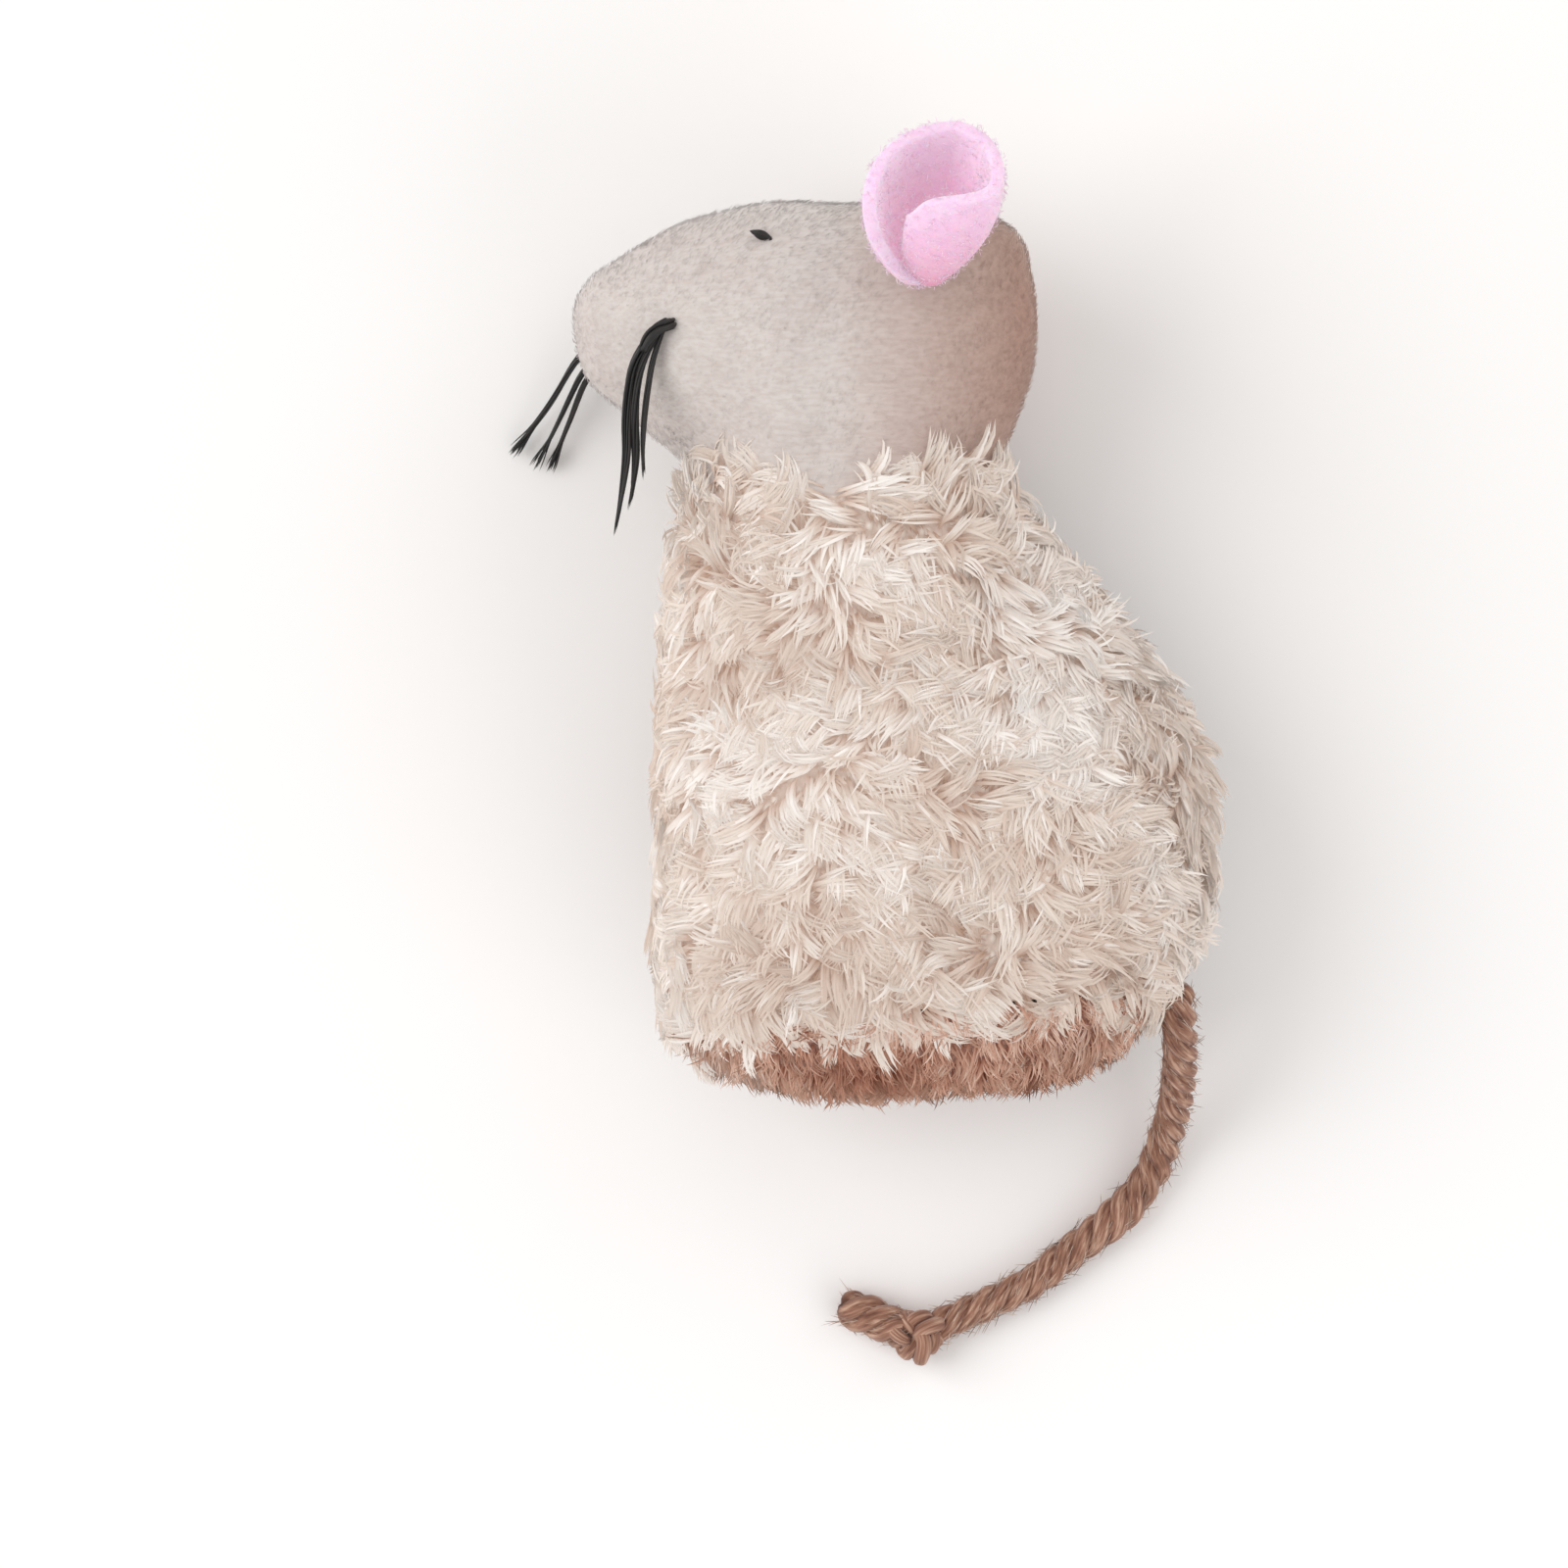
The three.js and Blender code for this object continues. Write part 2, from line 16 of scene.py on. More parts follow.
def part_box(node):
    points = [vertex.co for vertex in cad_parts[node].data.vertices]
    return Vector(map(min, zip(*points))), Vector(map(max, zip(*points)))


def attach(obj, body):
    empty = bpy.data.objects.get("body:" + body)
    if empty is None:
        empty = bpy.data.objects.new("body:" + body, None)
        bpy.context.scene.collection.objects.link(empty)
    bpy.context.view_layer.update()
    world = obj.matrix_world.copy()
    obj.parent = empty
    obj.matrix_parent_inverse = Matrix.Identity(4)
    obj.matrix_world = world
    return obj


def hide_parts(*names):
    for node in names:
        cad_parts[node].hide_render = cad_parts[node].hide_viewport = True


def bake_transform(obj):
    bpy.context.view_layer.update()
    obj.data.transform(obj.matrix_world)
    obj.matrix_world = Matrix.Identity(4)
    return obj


MM = 0.001

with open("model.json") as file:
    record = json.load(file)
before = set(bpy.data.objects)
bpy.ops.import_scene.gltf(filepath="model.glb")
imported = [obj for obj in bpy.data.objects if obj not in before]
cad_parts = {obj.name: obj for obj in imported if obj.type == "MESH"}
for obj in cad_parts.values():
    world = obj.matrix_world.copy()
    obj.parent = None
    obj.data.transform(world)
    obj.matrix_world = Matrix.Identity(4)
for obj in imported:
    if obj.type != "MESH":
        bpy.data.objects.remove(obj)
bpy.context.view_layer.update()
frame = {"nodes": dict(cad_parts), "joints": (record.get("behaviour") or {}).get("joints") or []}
joints = {joint["name"]: joint for joint in frame["joints"]}


def anchor(name):
    """The point a joint turns about, in millimetres."""
    return np.array(joints[name]["pos_m"], float) / MM


# ---- sizes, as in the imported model

NECK = anchor("neck_nod")
TAIL_ROOT = anchor("tail_swing")
EAR_NEAR_ROOT = anchor("ear_near_fold")
EAR_FAR_ROOT = anchor("ear_far_fold")
WHISKERS_NEAR_ROOT = anchor("whiskers_near_sway")
WHISKERS_FAR_ROOT = anchor("whiskers_far_sway")
SEAM = NECK[2]
BODY_WIDTH = 40.8
BODY_LENGTH = 44.6
BODY_BULGE = 13.0
HEAD_LENGTH = 33.1
HEAD_HEIGHT = 19.7
HEAD_BULGE = 11.0
SNOUT_THINNING = 0.3
HALF_NECK = 11.1
FACET = 1.0
BASE_SLOPE = math.tan(math.radians(5))
ROPE = 2.5
LYING = ROPE / 2 + 0.1
STUFFING_DEPTH = 4.4
HEAD_STUFFING_DEPTH = 3.0

# ---- numbers and fields


def field(points, wavelength, seed):
    """A smooth random field over points, about -1 to 1, as a sum of waves in random directions."""
    waves = 14
    rng = np.random.default_rng(seed)
    way = rng.normal(size=(waves, 3))
    way /= np.linalg.norm(way, axis=1, keepdims=True)
    way *= 2 * np.pi / (wavelength * rng.uniform(0.7, 1.5, (waves, 1)))
    phase = rng.uniform(0, 2 * np.pi, waves)
    return np.sin(points @ way.T + phase).sum(-1) / math.sqrt(waves / 2)


def unit(v):
    return v / np.maximum(np.linalg.norm(v, axis=-1, keepdims=True), 1e-9)


def smoothstep(low, high, x):
    t = np.clip((x - low) / (high - low), 0, 1)
    return t * t * (3 - 2 * t)


def rounded_line(points, count, closed=False):
    """A Catmull-Rom curve through points, at count even steps along its length."""
    p = np.array(points, float)
    p = np.vstack([p[-1], p, p[0], p[1]]) if closed else np.vstack([2 * p[0] - p[1], p, 2 * p[-1] - p[-2]])
    t = np.linspace(0, 1, 24, endpoint=False)[:, None]
    spans = []
    for a, b, c, d in zip(p[:-3], p[1:-2], p[2:-1], p[3:]):
        spans.append(
            0.5 * (2 * b + (c - a) * t + (2 * a - 5 * b + 4 * c - d) * t**2 + (3 * b - a - 3 * c + d) * t**3)
        )
    line = np.vstack([*spans, p[-2:-1]])
    along = np.concatenate([[0], np.cumsum(np.linalg.norm(np.diff(line, axis=0), axis=1))])
    at = np.linspace(0, along[-1], count)
    return np.stack([np.interp(at, along, line[:, i]) for i in range(line.shape[1])], 1)


def transported(centres):
    """Tangents and two side vectors along each row of centres, turning as little as possible."""
    tangent = unit(np.gradient(centres, axis=1))
    side = np.cross(tangent[:, 0], [0.31, 0.17, 0.94])
    sides = []
    for j in range(centres.shape[1]):
        along = tangent[:, j]
        side = unit(side - (side * along).sum(1, keepdims=True) * along)
        sides.append(side)
    first = np.stack(sides, 1)
    return tangent, first, np.cross(tangent, first)


# ---- stuffed forms


class Form:
    """A stuffed form: an outline on the seam plane, and a bulge on each side of it."""

    def __init__(self, outline, middle, near, far, fullness, thinning=None):
        self.middle = np.array(middle, float)
        self.near, self.far, self.fullness = near, far, fullness
        self.thinning = thinning or (lambda x: np.ones_like(x))
        line = rounded_line(np.array(outline) - self.middle, 900, closed=True)
        angle = np.arctan2(line[:, 1], line[:, 0])
        order = np.argsort(angle)
        self.angle, self.reaches = angle[order], np.linalg.norm(line, axis=1)[order]

    def reach(self, bearing):
        return np.interp(bearing, self.angle, self.reaches, period=2 * np.pi)

    def at(self, bearing, tilt, inset=0.0):
        """Points of the surface, taken in by an inset. Tilt runs from -90 to 90 degrees, in radians."""
        up, out = np.sin(tilt), np.clip(np.cos(tilt), 0, 1)
        power = 2 / self.fullness
        r = (self.reach(bearing) - inset) * out**power
        x = self.middle[0] + r * np.cos(bearing)
        y = self.middle[1] + r * np.sin(bearing)
        bulge = np.where(up > 0, self.near, self.far) - inset
        z = np.sign(up) * bulge * np.abs(up) ** power * self.thinning(x)
        return np.stack([x, y, SEAM + z], -1)

    def normal(self, bearing, tilt, inset=0.0):
        e = 2e-3
        around = self.at(bearing + e, tilt, inset) - self.at(bearing - e, tilt, inset)
        upward = self.at(bearing, tilt + e, inset) - self.at(bearing, tilt - e, inset)
        return unit(np.cross(around, upward))

    def scattered(self, count, tilts, inset, rng, keep=None):
        """Random places spread evenly over the surface between two tilts, as points and normals."""
        low, high = tilts
        bearing = rng.uniform(-np.pi, np.pi, 12 * count)
        tilt = rng.uniform(low, high, 12 * count)
        e = 4e-3
        at = self.at(bearing, tilt, inset)
        area = np.linalg.norm(
            np.cross(self.at(bearing + e, tilt, inset) - at, self.at(bearing, tilt + e, inset) - at), axis=1
        )
        area *= 1.0 if keep is None else keep(at)
        chosen = rng.choice(len(at), count, replace=False, p=area / area.sum())
        bearing, tilt = bearing[chosen], np.clip(tilt[chosen], -1.54, 1.54)
        return at[chosen], self.normal(bearing, tilt, inset)


def from_neck(rows, wide, long):
    return [(NECK[0] + x * wide, NECK[1] + y * long) for x, y in rows]


body = Form(
    from_neck([(HALF_NECK, 0)], 1, 1)
    + from_neck(
        [(0.43, -0.18), (0.6, -0.38), (0.654, -0.57), (0.61, -0.78), (0.453, -0.95), (0.238, -0.99), (0, -1)]
        + [(-0.21, -0.965), (-0.333, -0.85), (-0.346, -0.65), (-0.336, -0.36)],
        BODY_WIDTH,
        BODY_LENGTH,
    )
    + [(NECK[0] - HALF_NECK - 0.9, NECK[1] - 0.11 * BODY_LENGTH)]
    + from_neck([(-1, 0), (-0.8, 0.55), (0, 0.85), (0.8, 0.55)], HALF_NECK, HALF_NECK),
    (NECK[0] + 0.12 * BODY_WIDTH, NECK[1] - 0.55 * BODY_LENGTH),
    BODY_BULGE,
    SEAM + FACET,
    2.4,
)


def snout_thinning(x):
    start = NECK[0] - 0.15 * HEAD_LENGTH
    return 1 - SNOUT_THINNING * np.clip((start - x) / (0.43 * HEAD_LENGTH), 0, 1)


head = Form(
    from_neck([(HALF_NECK, 0)], 1, 1)
    + from_neck(
        [(0.362, 0.16), (0.401, 0.34), (0.417, 0.53), (0.408, 0.72), (0.364, 0.9), (0.21, 0.992), (0, 1)]
        + [(-0.218, 0.97), (-0.45, 0.805), (-0.555, 0.68), (-0.583, 0.555), (-0.556, 0.38), (-0.44, 0.163)],
        HEAD_LENGTH,
        HEAD_HEIGHT,
    )
    + from_neck([(-1, 0), (-0.85, -0.45), (0, -0.8), (0.85, -0.45)], HALF_NECK, HALF_NECK),
    (NECK[0] - 0.02 * HEAD_LENGTH, NECK[1] + 0.44 * HEAD_HEIGHT),
    HEAD_BULGE,
    HEAD_BULGE,
    2.3,
    snout_thinning,
)


def above_base(at):
    """Height of points over the base seam, across the body."""
    return at[..., 1] - TAIL_ROOT[1] - BASE_SLOPE * (at[..., 0] - TAIL_ROOT[0])


# ---- meshes

PILE_SOFTNESS = 0.8  # how far the shading of a fibre follows the surface it grows on
AT_SEAM, OFF_POLE = 0.0008, 0.02  # tilts left out of a shell at its two ends
CLOTH_LOWEST = 0.05  # height of a shell's flattened underside over the floor


def made(name, points, *faces):
    """A smooth mesh object from points in millimetres and arrays of faces."""
    mesh = bpy.data.meshes.new(name)
    mesh.vertices.add(len(points))
    mesh.vertices.foreach_set("co", (np.asarray(points) * MM).astype(np.float32).ravel())
    corners = np.concatenate([f.ravel() for f in faces])
    sizes = np.concatenate([np.full(len(f), f.shape[1]) for f in faces])
    mesh.loops.add(len(corners))
    mesh.loops.foreach_set("vertex_index", corners.astype(np.int32))
    mesh.polygons.add(len(sizes))
    mesh.polygons.foreach_set("loop_start", (np.cumsum(sizes) - sizes).astype(np.int32))
    mesh.polygons.foreach_set("loop_total", sizes.astype(np.int32))
    mesh.polygons.foreach_set("use_smooth", np.ones(len(sizes), bool))
    mesh.update(calc_edges=True)
    obj = bpy.data.objects.new(name, mesh)
    bpy.context.scene.collection.objects.link(obj)
    return obj


def strips(rows, across, closed=True):
    """Faces between rows of points that lie one after another, joined round where closed."""
    i = np.arange(across if closed else across - 1)
    j = (i + 1) % across
    starts = across * np.arange(rows - 1)
    return np.vstack([np.stack([r + i, r + j, r + across + j, r + across + i], 1) for r in starts])


def marked(obj, name, values):
    """Keeps a number for each vertex, for the material to read."""
    attribute = obj.data.attributes.new(name, "FLOAT", "POINT")
    attribute.data.foreach_set("value", np.asarray(values, np.float32))


def fibres(name, centres, radii, tint, sides=3, flatness=1.0, ground=None):
    """Closed tubes, one along each row of centres and pointed at both ends, with a tint for each.

    With ground, the normals of what they grow on, they are shaded softly, as a pile is.
    """
    count, steps = centres.shape[:2]
    _, first, second = transported(centres)
    turn = np.linspace(0, 2 * np.pi, sides, endpoint=False)
    across, up = np.cos(turn)[:, None], np.sin(turn)[:, None]
    ring = first[:, 1:-1, None] * across + second[:, 1:-1, None] * up * flatness
    rings = centres[:, 1:-1, None] + ring * radii[:, 1:-1, None, None]
    inner = (steps - 2) * sides
    points = np.concatenate([centres[:, :1], rings.reshape(count, inner, 3), centres[:, -1:]], 1)
    around, after = np.arange(sides), (np.arange(sides) + 1) % sides
    start = np.stack([np.zeros(sides, int), 1 + after, 1 + around], 1)
    last = 1 + inner - sides
    end = np.stack([np.full(sides, 1 + inner), last + around, last + after], 1)
    base = np.arange(count)[:, None, None] * (inner + 2)
    caps = (np.vstack([start, end])[None] + base).reshape(-1, 3)
    quads = (1 + strips(steps - 2, sides)[None] + base).reshape(-1, 4)
    obj = made(name, points.reshape(-1, 3), caps, quads)
    along = np.linspace(0, 1, steps)
    along = np.concatenate([along[:1], np.repeat(along[1:-1], sides), along[-1:]])
    tint, along = np.repeat(tint, inner + 2), np.tile(along, count)
    marked(obj, "tint", tint)
    marked(obj, "along", along)
    corner = np.zeros(len(obj.data.loops), np.int32)
    obj.data.loops.foreach_get("vertex_index", corner)
    layer = obj.data.uv_layers.new(name="OFBake")
    uv = np.stack([0.02 + 0.96 * tint[corner], 0.02 + 0.96 * along[corner]], 1)
    layer.uv.foreach_set("vector", uv.astype(np.float32).ravel())
    if ground is not None:
        own = np.concatenate([ground[:, None], ring.reshape(count, inner, 3), ground[:, None]], 1)
        soft = unit(unit(own) * (1 - PILE_SOFTNESS) + ground[:, None] * PILE_SOFTNESS)
        obj.data.normals_split_custom_set_from_vertices(soft.reshape(-1, 3))
    return obj


def shell(name, form, side, outer, thickness, around=220, rows=60, shape=None):
    """Half of a stuffed form as a fabric shell of some thickness, closed along the seam."""
    bearing = np.linspace(-np.pi, np.pi, around, endpoint=False)
    share = np.linspace(0, 1, rows) ** 1.4  # closer rows at the seam
    tilt = side * (AT_SEAM + (math.pi / 2 - OFF_POLE - AT_SEAM) * share)
    grid_bearing, grid_tilt = np.meshgrid(bearing, tilt)
    grid_bearing, grid_tilt = grid_bearing.ravel(), grid_tilt.ravel()
    out = form.at(grid_bearing, grid_tilt, outer)
    if shape:
        out = out + form.normal(grid_bearing, grid_tilt, outer) * shape(out)[:, None]
    inside = form.at(grid_bearing, grid_tilt, outer + thickness)
    out[:, 2] = np.maximum(out[:, 2], CLOTH_LOWEST)
    inside[:, 2] = np.maximum(inside[:, 2], CLOTH_LOWEST + thickness)
    count = len(out)
    points = np.vstack([out, inside, out[-around:].mean(0), inside[-around:].mean(0)])
    i = np.arange(around)
    j = (i + 1) % around
    walls = strips(rows, around)
    rim = np.stack([j, i, count + i, count + j], 1)
    top = count - around
    cap = np.stack([top + i, top + j, np.full(around, 2 * count)], 1)
    quads = np.vstack([walls, walls[:, ::-1] + count, rim])
    tris = np.vstack([cap, np.stack([count + top + j, count + top + i, np.full(around, 2 * count + 1)], 1)])
    if side < 0:
        quads, tris = quads[:, ::-1], tris[:, ::-1]
    return made(name, points, quads, tris)


def cut(obj, point, away):
    """Takes off what lies beyond a plane, and closes the cut."""
    mesh = bmesh.new()
    mesh.from_mesh(obj.data)
    everything = list(mesh.verts) + list(mesh.edges) + list(mesh.faces)
    found = bmesh.ops.bisect_plane(
        mesh, geom=everything, plane_co=Vector(point) * MM, plane_no=Vector(away), clear_outer=True
    )
    edges = [g for g in found["geom_cut"] if isinstance(g, bmesh.types.BMEdge)]
    bmesh.ops.edgenet_fill(mesh, edges=edges)
    mesh.to_mesh(obj.data)
    mesh.free()
    return obj


def dressed(obj, material, body_name, slot_name, *nodes):
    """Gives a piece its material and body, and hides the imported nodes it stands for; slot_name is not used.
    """
    obj.data.materials.append(material)
    if body_name:
        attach(obj, body_name)
    if nodes:
        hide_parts(*nodes)
    return obj


# ---- materials


def linear(code):
    """A hexadecimal colour as linear red, green, blue and 1."""
    values = [int(code[i : i + 2], 16) / 255 for i in (0, 2, 4)]
    return (*[v / 12.92 if v <= 0.04045 else ((v + 0.055) / 1.055) ** 2.4 for v in values], 1)


class Finish:
    """A node material with a Principled shader."""

    def __init__(self, name, **inputs):
        self.material = bpy.data.materials.new(name)
        self.material.use_nodes = True
        self.nodes, self.links = self.material.node_tree.nodes, self.material.node_tree.links
        self.shader = self.nodes["Principled BSDF"]
        for key, value in inputs.items():
            self.shader.inputs[key.replace("_", " ")].default_value = value

    def node(self, kind, **settings):
        made_node = self.nodes.new("ShaderNode" + kind)
        for key, value in settings.items():
            setattr(made_node, key, value)
        return made_node

    def place(self, turn=0.0, stretch=(1, 1, 1)):
        """The object's own coordinates, turned about Z by degrees and stretched."""
        mapping = self.node("Mapping")
        mapping.inputs["Rotation"].default_value = (0, 0, math.radians(turn))
        mapping.inputs["Scale"].default_value = stretch
        self.links.new(self.node("TexCoord").outputs["Object"], mapping.inputs["Vector"])
        return mapping.outputs["Vector"]

    def noise(self, where, size, detail=3.0):
        """Noise with features of a size in millimetres."""
        texture = self.node("TexNoise")
        texture.inputs["Scale"].default_value = 1 / (size * MM)
        texture.inputs["Detail"].default_value = detail
        self.links.new(where, texture.inputs["Vector"])
        return texture.outputs["Fac"]

    def attribute(self, name):
        return self.node("Attribute", attribute_name=name).outputs["Fac"]

    def ramp(self, factor, *stops):
        ramp = self.node("ValToRGB")
        elements = ramp.color_ramp.elements
        while len(elements) < len(stops):
            elements.new(0.5)
        for element, (position, colour) in zip(elements, stops):
            element.position, element.color = position, linear(colour)
        self.links.new(factor, ramp.inputs["Fac"])
        return ramp.outputs["Color"]

    def multiplied(self, factor, first, second):
        mix = self.node("Mix", data_type="RGBA", blend_type="MULTIPLY")
        mix.inputs[0].default_value = factor
        self.links.new(first, mix.inputs[6])
        self.links.new(second, mix.inputs[7])
        return mix.outputs[2]

    def coloured(self, colour):
        self.links.new(colour, self.shader.inputs["Base Color"])
        return self

    def bumped(self, height, depth, strength=1.0):
        bump = self.node("Bump")
        bump.inputs["Distance"].default_value = depth * MM
        bump.inputs["Strength"].default_value = strength
        self.links.new(height, bump.inputs["Height"])
        self.links.new(bump.outputs["Normal"], self.shader.inputs["Normal"])
        return self


def strand_finish(name, dark, middle, light, root, roughness, sheen, gloss=0.5):
    """Fibres whose colour runs from dark to light by tint, and is darker at the root where a root colour is
    given, as painted shade between the strands.
    """
    finish = Finish(
        name, Roughness=roughness, Sheen_Weight=sheen, Sheen_Roughness=0.4, Specular_IOR_Level=gloss
    )
    tint = finish.ramp(finish.attribute("tint"), (0, dark), (0.5, middle), (1, light))
    # The root colour darkens the lower part of each strand: painted shade between the strands.
    depth = finish.ramp(finish.attribute("along"), (0.12, root), (0.55, "ffffff"))
    return finish.coloured(finish.multiplied(1.0, tint, depth)).material


def cloth_finish(name, dark, light, size, roughness, sheen, depth):
    """Cloth with a mottled colour and a fine pile."""
    finish = Finish(name, Roughness=roughness, Sheen_Weight=sheen, Sheen_Roughness=0.5)
    where = finish.place()
    finish.coloured(finish.ramp(finish.noise(where, size), (0.3, dark), (0.7, light)))
    return finish.bumped(finish.noise(where, size / 4), depth).material


def knit_finish(name, dark, light):
    """The knit backing under a pile: rows of small stitches."""
    finish = Finish(name, Roughness=0.9, Sheen_Weight=0.3)
    stitches = finish.node("TexVoronoi")
    stitches.inputs["Scale"].default_value = 1 / (0.55 * MM)
    finish.links.new(finish.place(20, (1, 0.7, 1)), stitches.inputs["Vector"])
    finish.coloured(finish.ramp(stitches.outputs["Distance"], (0.1, light), (0.55, dark)))
    return finish.bumped(stitches.outputs["Distance"], -0.15).material


def velour_finish():
    """Short pile with a nap that runs up and back over the cheek, and darker and warmer towards the back of
    the head: partly the velour's own tone, partly painted shade on the side away from the light.
    """
    finish = Finish(
        "velour", Roughness=0.75, Sheen_Weight=0.25, Sheen_Roughness=0.35, Specular_IOR_Level=0.1
    )
    broad = finish.noise(finish.place(), 9, 2)
    nap = finish.noise(finish.place(-24, (0.2, 1, 1)), 0.26, 3)
    base = finish.ramp(broad, (0.3, "d0c6c2"), (0.7, "d7d0cc"))
    streaks = finish.ramp(nap, (0.35, "f6f2f0"), (0.6, "ffffff"))
    place = finish.node("SeparateXYZ")
    finish.links.new(finish.node("TexCoord").outputs["Object"], place.inputs[0])
    back = finish.node("MapRange")
    back.inputs["From Min"].default_value = (NECK[0] - 1) * MM
    back.inputs["From Max"].default_value = (NECK[0] + 14) * MM
    finish.links.new(place.outputs["X"], back.inputs["Value"])
    # Darker and warmer towards the back of the head: partly the velour's own tone, partly painted shade on
    # the side away from the light.
    back_tone_and_shade = finish.ramp(back.outputs["Result"], (0.0, "ffffff"), (0.5, "eadad4"), (1.0, "cfac9d"))
    colour = finish.multiplied(1.0, base, streaks)
    finish.coloured(finish.multiplied(1.0, colour, back_tone_and_shade))
    return finish.bumped(nap, 0.03, 0.4).material


def felt_finish():
    """Pink felt, deeper in colour towards the tacked end."""
    finish = Finish(
        "pink_felt", Roughness=0.85, Sheen_Weight=0.4, Sheen_Roughness=0.5, Subsurface_Weight=0.5,
        Subsurface_Scale=1.5 * MM,
    )
    rise = finish.ramp(
        finish.attribute("rise"), (0.0, "f097bc"), (0.25, "f8bcdb"), (0.6, "f8cbe8"), (1.0, "fbddf7")
    )
    mottle = finish.ramp(finish.noise(finish.place(), 0.8), (0.3, "fbf4f9"), (0.65, "ffffff"))
    finish.coloured(finish.multiplied(1.0, rise, mottle))
    return finish.bumped(finish.noise(finish.place(), 0.18, 5), 0.07).material


def jute_finish():
    """Twisted jute: long fibres in shades of brown, darker in the grooves between the strands as painted
    shade.
    """
    finish = Finish("jute", Roughness=0.8, Sheen_Weight=0.2)
    lines = finish.node("CombineXYZ")
    for name, socket, scale in (("length", "X", 0.9), ("turn", "Y", 7.0)):
        scaled = finish.node("Math", operation="MULTIPLY")
        scaled.inputs[1].default_value = scale
        finish.links.new(finish.attribute(name), scaled.inputs[0])
        finish.links.new(scaled.outputs[0], lines.inputs[socket])
    texture = finish.node("TexNoise")
    texture.inputs["Scale"].default_value = 1.0
    texture.inputs["Detail"].default_value = 5
    finish.links.new(lines.outputs[0], texture.inputs["Vector"])
    shade = finish.ramp(texture.outputs["Fac"], (0.28, "62392a"), (0.5, "9c6f5a"), (0.68, "cfaa94"))
    # Painted shade: darker in the grooves between the strands, full colour on their crowns.
    groove_shade_mask = finish.ramp(finish.attribute("groove_shade_mask"), (0.05, "83604f"), (0.6, "ffffff"))
    finish.coloured(finish.multiplied(0.85, shade, groove_shade_mask))
    return finish.bumped(texture.outputs["Fac"], 0.14).material


# The fourth colour of each finish is its root colour: for the two piles, painted shade between the strands.
FUR = strand_finish("long_pile", "d4bfb1", "e6d9cf", "f7f1ec", "dec9bd", 0.5, 0.0, 0.0)
# The base pile and its knit backing are coloured brown as painted warm shade of the underside, where the toy
# curves under towards the floor.
BASE_FUR = strand_finish("short_pile_painted_shade", "ad7a66", "d3a792", "efd3c4", "c39a88", 0.6, 0.0, 0.0)
FELT_FUZZ = strand_finish("felt_fuzz", "f6c6e2", "fadbf1", "feecfc", "ffffff", 0.8, 0.2, 0.05)
JUTE_FUZZ = strand_finish("jute_fuzz", "75503f", "b08d79", "ddc7b5", "ffffff", 0.7, 0.2)
BLACK = strand_finish("black_thread", "050404", "110d0c", "241d1b", "ffffff", 0.45, 0.1)
KNIT = knit_finish("knit_backing", "d2beb2", "f2e8df")
BASE_KNIT_PAINTED_SHADE = knit_finish("base_knit_painted_shade", "94695a", "bb9483")
VELOUR = velour_finish()
FELT = felt_finish()
JUTE = jute_finish()
FILLING = cloth_finish("filling", "e9e6e1", "faf9f6", 1.2, 0.95, 0.2, 0.4)
SEAM_THREAD = cloth_finish("seam_thread", "c9bdb2", "e4dbd2", 0.3, 0.7, 0.1, 0.05)
PINK_THREAD = cloth_finish("pink_thread", "df95bd", "efb9d7", 0.3, 0.7, 0.1, 0.05)
BLACK_THREAD = cloth_finish("black_sewing_thread", "060505", "1a1514", 0.3, 0.5, 0.1, 0.05)

# ---- camera

FRAME_WIDTH = 112.8
PICTURE_MIDDLE = (-5.4, -12.7)
LENS, SENSOR = 400.0, 36.0


def camera():
    lens = bpy.data.cameras.new("camera")
    lens.lens, lens.sensor_width = LENS, SENSOR
    view = bpy.data.objects.new("camera", lens)
    height = SEAM + FRAME_WIDTH * LENS / SENSOR
    view.location = Vector((*PICTURE_MIDDLE, height)) * MM
    bpy.context.scene.collection.objects.link(view)
    bpy.context.scene.camera = view


camera()

# ---- tail

TAIL_ROUTE = [
    (0, 0, 1), (0.2, -1.8, 0.966), (0.35, -3.8, 0.846), (0.4, -5.8, 0.648), (0.25, -7.8, 0.425),
    (-0.15, -9.8, 0.227), (-0.7, -11.6, 0.09), (-1.6, -13.8, 0.021), (-3.4, -16.2, 0), (-5.1, -17.7, 0),
    (-7, -19.1, 0), (-10.3, -21.6, 0), (-14, -23.4, 0), (-16.3, -24.4, 0.01),
    (-17.7, -25.0, 0.03),
]
KNOT_AT = (-18.5, -25.4, 0.06)
FREE_END_ROUTE = [(-20.7, -24.6, 0.02), (-22, -24, 0), (-24, -23.3, 0)]
TWIST = 5.4  # length of one turn of the rope
JUTE_FIBRE = 0.035  # radius
KNOT_ROPE, FREE_END = 2.25, 2.9  # the rope is pulled thin in its knot, and frays open at its end


def from_root(row):
    x, y, up = row
    return np.array([TAIL_ROOT[0] + x, TAIL_ROOT[1] + y, LYING + (SEAM - LYING) * up])


